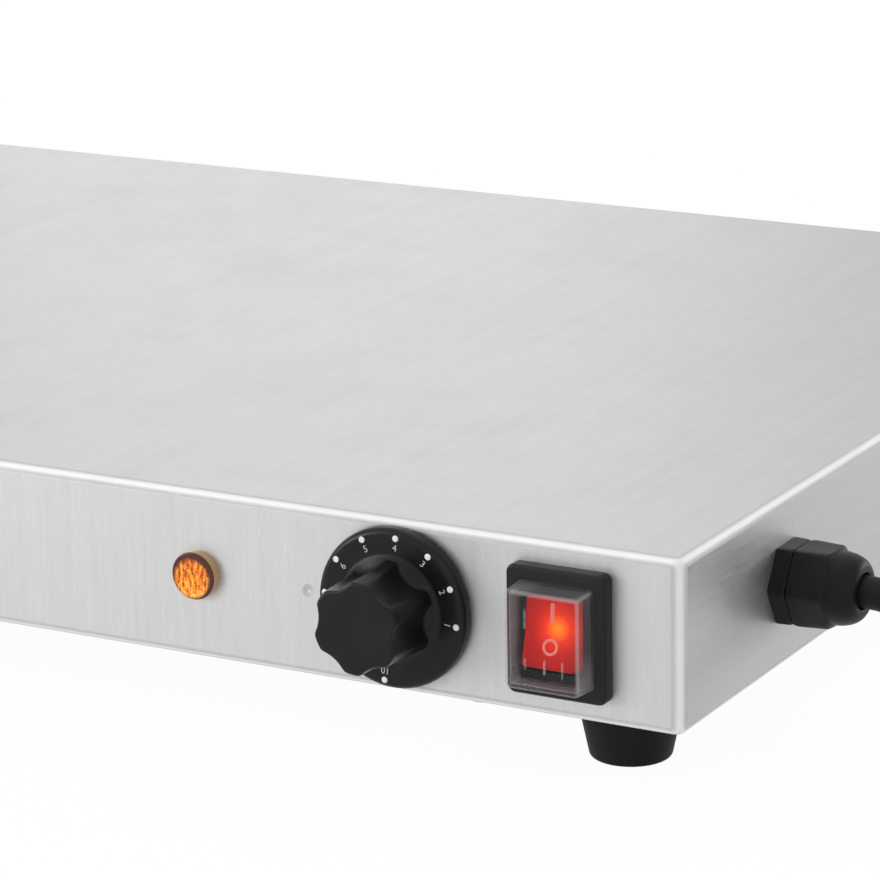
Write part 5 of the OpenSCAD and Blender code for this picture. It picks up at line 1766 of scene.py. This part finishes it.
@dataclass
class Gland:
    """The cable gland: a hexagonal flange, a domed nut and a seal. Sizes are in millimetres."""

    across_flats: float = 20.0
    flange: float = 4.6
    nut_gap: float = 0.25
    hex_end: float = 14.0
    shoulder: float = 1.0
    shoulder_step: float = 0.4
    reach: float = 22.0
    rim_radius: float = 6.0
    mouth_radius: float = 4.45
    mouth_depth: float = 4.0
    thread_radius: float = 8.0
    thread_back: float = -7.4
    spigot_radius: float = 7.4
    spigot: float = 1.0
    corner_softness: float = 0.22
    turned_up_to: Pair = (8.3, 8.6)

    @property
    def across_corners(self) -> float:
        """Half the width of the hexagon across its corners."""
        return self.across_flats / 2 / math.cos(math.pi / 6)

    def hexed(self, profile: np.ndarray, turned_up_to: float) -> Skin:
        """A closed surface whose radius is the smaller of a hexagon and a turned profile.

        Args:
            profile: Turned radius and height of a closed outline, one point per row.
            turned_up_to: The radius up to which the surface stays turned.

        Returns:
            The surface, in millimetres.
        """
        count, turned = 180, profile[:, :1]
        cut = blunted(turned, hexagon_radius(angles(count), self.across_flats), self.corner_softness)
        radii = np.where(turned > turned_up_to, cut, turned)
        return ring_skin(around(radii, profile[:, 1:], count), looped=True)

    def flange_surface(self) -> Skin:
        """The fixed half: a flange with chamfered corners, and the thread through the wall."""
        wide, thread, front = self.across_corners, self.thread_radius, self.flange
        root = rounded([(self.mouth_radius, self.thread_back), (thread, self.thread_back), (thread, 0.0)],
                       [0.6], 4)
        head = rounded([(thread, 0.0), (wide + 0.3, 0.0), (wide - 0.1, front), (self.spigot_radius, front)],
                       [0.5, 1.0], 5)
        tail = [(self.spigot_radius, front + self.spigot), (self.mouth_radius, front + self.spigot)]
        return self.hexed(np.vstack([root[:-1], head, tail]), self.turned_up_to[0])

    def nut_surface(self) -> Skin:
        """The dome nut: a hexagon's length, then a round dome that turns in to the cord."""
        wide, start = self.across_corners, self.flange + self.nut_gap
        top, base = self.across_flats / 2 - self.shoulder_step, self.hex_end + self.shoulder
        body = rounded([(self.thread_radius + 0.2, start), (wide - 0.3, start), (wide + 0.05, start + 1.2),
                        (wide - 0.5, self.hex_end), (top, base)], [0.4, 0.4, 0.6], 5)
        a = np.linspace(0, np.pi / 2, 12)[1:]
        dome = np.stack([self.rim_radius + (top - self.rim_radius) * np.cos(a),
                         base + (self.reach - base) * np.sin(a)], axis=1)
        mouth = rounded([dome[-1], (self.mouth_radius + 0.35, self.reach),
                         (self.mouth_radius + 0.05, self.reach - self.mouth_depth),
                         (self.mouth_radius + 0.6, start)], [0.5, 0.2], 4)
        return self.hexed(np.vstack([finer(body, 1.2), dome, mouth[1:]]), self.turned_up_to[1])

    def build(self) -> None:
        """Makes the flange and the nut, and dresses the seal and the lock nut."""
        axes, nylon = side_axes("gland_body"), FINISHES.get(Plastic.NYLON)
        flange = make_piece("gland_flange", self.flange_surface().at(axes), nylon, "casing", 30)
        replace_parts(flange, "gland_body")
        nut = make_piece("gland_nut", self.nut_surface().at(axes), nylon, "casing", 30)
        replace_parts(nut, "gland_dome_nut")
        dress(nylon, "gland_lock_nut")
        dress(FINISHES.get(Plastic.SEAL), "gland_seal")


# ------------------------------------------------------------------ supply cord and plug


@dataclass
class SupplyCord:
    """The free supply cord: from the gland to the table, a strapped coil, and a lead to the plug.

    Places are in millimetres, as in the part's source.
    """

    diameter: float = 8.6
    length: float = 1520
    wall: Point = (300, -103, 40.5)
    mouth: Point = (322, -103, 40.5)
    coil_x: float = 446
    coil_y: float = -45
    coil_radius: float = 58
    coil_pitch: float = 9.2
    coil_rise: float = 9.2
    turns: float = 4.25
    coil_z: float = 5.4
    lead_in: float = 9
    plug_end: Point = (504, 34, 18.6)
    strap_width: float = 10
    strap_thickness: float = 0.8
    strap_corner: float = 2.8
    strap_edge: float = 0.3

    def coil(self) -> np.ndarray:
        """The coil's centreline: it winds in on the table, climbs a layer and winds out again.

        At turn u the radius is R - p (m - |u - m|), where m is half the turns and p the pitch.
        The height rises by one layer in the half turn round m.

        Returns:
            Points in millimetres.
        """
        u = np.arange(0, self.turns + 1e-9, 1 / 48)
        middle = self.turns / 2
        r = self.coil_radius - self.coil_pitch * (middle - np.abs(u - middle))
        a = 2 * np.pi * u - np.pi / 2
        z = self.coil_z + self.coil_rise * np.clip(2 * (u - middle) + 0.5, 0, 1)
        return np.stack([self.coil_x + r * np.cos(a), self.coil_y + r * np.sin(a), z], axis=1)

    def route(self) -> np.ndarray:
        """The whole centreline, in millimetres."""
        x, y, z = self.coil_x, self.coil_y, self.coil_z
        start = smooth_path([self.wall, self.mouth, (330, -103, 39.6), (340, -103, 36.6), (352, -103, 31.4),
                             (364, -103, 25.4), (376, -103, 19.6), (390, -103, 13.6), (406, -103, 8.4),
                             (422, -103, 5.8), (x - self.lead_in, y - self.coil_radius, z)], 4)
        end = smooth_path([(x + self.coil_radius, y + self.lead_in, z + self.coil_rise), (504, -22, 14.8),
                           (504, -8, 15.7), (504, 6, 17.3), (504, 20, 18.5), self.plug_end], 4)
        return np.vstack([start, self.coil(), end])

    def make_strap(self) -> bpy.types.Object:
        """A band round the coil's turns where they lie furthest back.

        Returns:
            The piece.
        """
        low, high = (np.array(corner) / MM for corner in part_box("cord_tie"))
        _, depth, height = high - low - self.strap_thickness
        loop = rounded_rect(depth, height, self.strap_corner, side=10, corner=8)
        path = np.insert(loop, 0, 0.0, axis=1)
        section = rounded_rect(self.strap_thickness, self.strap_width, self.strap_edge, side=3, corner=3)
        heading = np.roll(path, -1, 0) - np.roll(path, 1, 0)
        heading = heading / np.linalg.norm(heading, axis=1)[:, None]
        sideways = np.tile([1.0, 0.0, 0.0], (len(path), 1))
        band = ring_skin(across(path, section, np.cross(heading, sideways), sideways), looped=True)
        piece = make_piece("coil_strap", band.moved(*(low + high) / 2).at(Axes()),
                           FINISHES.get(WovenStrap()), "casing")
        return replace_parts(piece, "cord_tie")

    def build(self, on_it: Sequence[object]) -> None:
        """Args:
            on_it: The pieces and CAD nodes on the cord; not used.
        """
        route = self.route()
        jacket = swept(route, circle(20) * self.diameter / 2)
        piece = make_piece("supply_cord_jacket", jacket.at(Axes()), FINISHES.get(Plastic.CORD), "casing")
        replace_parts(piece, "supply_cord", "cord_coil", "plug_lead")
        strap, path = self.make_strap(), route * MM


@dataclass
class Plug:
    """The cord's round plug, with side grooves, earth strips and two pins. Sizes are in millimetres."""

    radius: float = 18.5
    length: float = 36.0
    sleeve: float = 24.0
    sleeve_end: float = 5.75
    sleeve_radius: float = 8.0
    waist: float = 12.0
    step: float = 1.2
    collar: float = 12.0
    ribs: int = 5
    rib_rise: float = 1.2
    rib_foot: float = 1.0
    rib_top: float = 0.7
    groove_width: float = 6.0
    groove_depth: float = 3.4
    groove_start: float = 0.2
    pin_radius: float = 2.4
    pin_length: float = 19.0
    pin_pitch: float = 19.0
    root_radius: float = 2.0
    root_length: float = 8.0

    @property
    def front(self) -> float:
        """How far the plug's face lies from the sleeve's end."""
        return self.sleeve + self.length

    def surface(self) -> Skin:
        """The plug's body: a turned form whose collar has four grooves.

        A groove at angle a limits the radius to (R - depth) / cos a, as a flat does.

        Returns:
            The surface, in millimetres.
        """
        sleeve = [(0.0, 0.0), (self.sleeve_end, 0.0)]
        for k in range(1, self.ribs + 1):
            z = self.sleeve * k / (self.ribs + 1)
            r = self.sleeve_end + (self.sleeve_radius - self.sleeve_end) * z / self.sleeve
            top = r + self.rib_rise
            sleeve += [(r, z - self.rib_foot), (top, z - self.rib_top), (top, z + self.rib_top),
                       (r, z + self.rib_foot)]
        collar = self.front - self.collar
        corners = sleeve + [(self.sleeve_radius, self.sleeve), (self.waist, self.sleeve + self.step),
                            (self.radius - self.step, collar), (self.radius, collar + self.step),
                            (self.radius, self.front), (0.0, self.front)]
        radii = [0.3] + [0.3] * (4 * self.ribs) + [0.8, 3.0, 0.8, 0.8, 1.2]
        profile = finer(rounded(corners, radii, 4), 1.0)
        plain, height = profile[:, :1], profile[:, 1:]
        count = 192
        away = np.mod(angles(count) + np.pi / 4, np.pi / 2) - np.pi / 4
        flat = (self.radius - self.groove_depth) / np.cos(away)
        grooved = np.abs(np.sin(away)) * self.radius < self.groove_width / 2
        on_collar = height > collar + self.groove_start
        return ring_skin(around(np.where(grooved & on_collar, np.minimum(plain, flat), plain), height, count))

    def pins(self) -> Skin:
        """Two round-nosed pins, each on a thinner root."""
        r, root, face = self.pin_radius, self.root_radius, self.front + 0.2
        tip = self.front + self.pin_length
        corners = [(root, self.front - self.root_length), (root, face), (r, face), (r, tip), (0, tip)]
        profile = rounded(corners, [0, 0.2, r * 0.95], 8)
        pin = lathe(profile, 40)
        return pin.moved(self.pin_pitch / 2).join(pin.moved(-self.pin_pitch / 2))

    def build(self) -> list[object]:
        """Makes the plug.

        Returns:
            The pieces and CAD nodes that go with the cord.
        """
        low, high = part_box("plug_body")
        axes = Axes(((low.x + high.x) / 2, low.y, (low.z + high.z) / 2), (-1, 0, 0), (0, 0, 1), (0, 1, 0))
        body = make_piece("plug_shell", self.surface().at(axes), FINISHES.get(Plastic.CORD), "casing", 30)
        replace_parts(body, "plug_body")
        pins = make_piece("plug_pin_pair", self.pins().at(axes), FINISHES.get(Metal.NICKEL), "casing", 30)
        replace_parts(pins, "plug_pins")
        dress(FINISHES.get(Metal.NICKEL), "plug_earth_clips")
        return [body, pins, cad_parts["plug_earth_clips"]]


# ------------------------------------------------------------------ inside


class Inside:
    """The heater, the thermostat and the wiring, which the closed casing hides."""

    finishes: dict[Enum, tuple[str, ...]] = {
        Metal.ALUMINIUM: ("spreader_plate",),
        Metal.SHEATH: ("heating_element",),
        Metal.ZINC: ("clamp_bars", "clamp_nuts", "heater_tray", "tray_nuts", "thermostat_screws",
                     "block_screws"),
        Metal.SPRING: ("bulb_clip",),
        Metal.COPPER: ("capillary_bulb",),
        Metal.BRASS: ("earth_stud",),
        Plastic.BEAD: ("element_terminals",),
        Plastic.IVORY: ("thermostat_body", "terminal_block"),
        Plastic.CUTOUT: ("thermal_cutout",),
        Plastic.BROWN: ("live_wires",),
        Plastic.BLUE: ("neutral_wires",),
        Plastic.GREEN: ("earth_wire",),
        Plastic.CORD: ("mains_tail",),
    }

    def build(self) -> None:
        """Dresses every piece inside the casing."""
        for kind, nodes in self.finishes.items():
            dress(FINISHES.get(kind), *nodes)
        dress(FINISHES.get(MineralFibre()), "insulating_mat")


def main() -> None:
    """Builds the camera, the cord, every sub-assembly and the studio."""
    logging.basicConfig(level=logging.INFO, format="%(name)s: %(message)s")
    studio = Studio()
    studio.make_camera()
    gland_nodes = [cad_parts["gland_seal"]]
    SupplyCord().build(Plug().build() + gland_nodes)
    Casing().build()
    Feet().build()
    Dial().build()
    PilotLamp().build()
    RockerSwitch().build()
    Gland().build()
    Inside().build()
    studio.build()


if __name__ == "__main__":
    main()
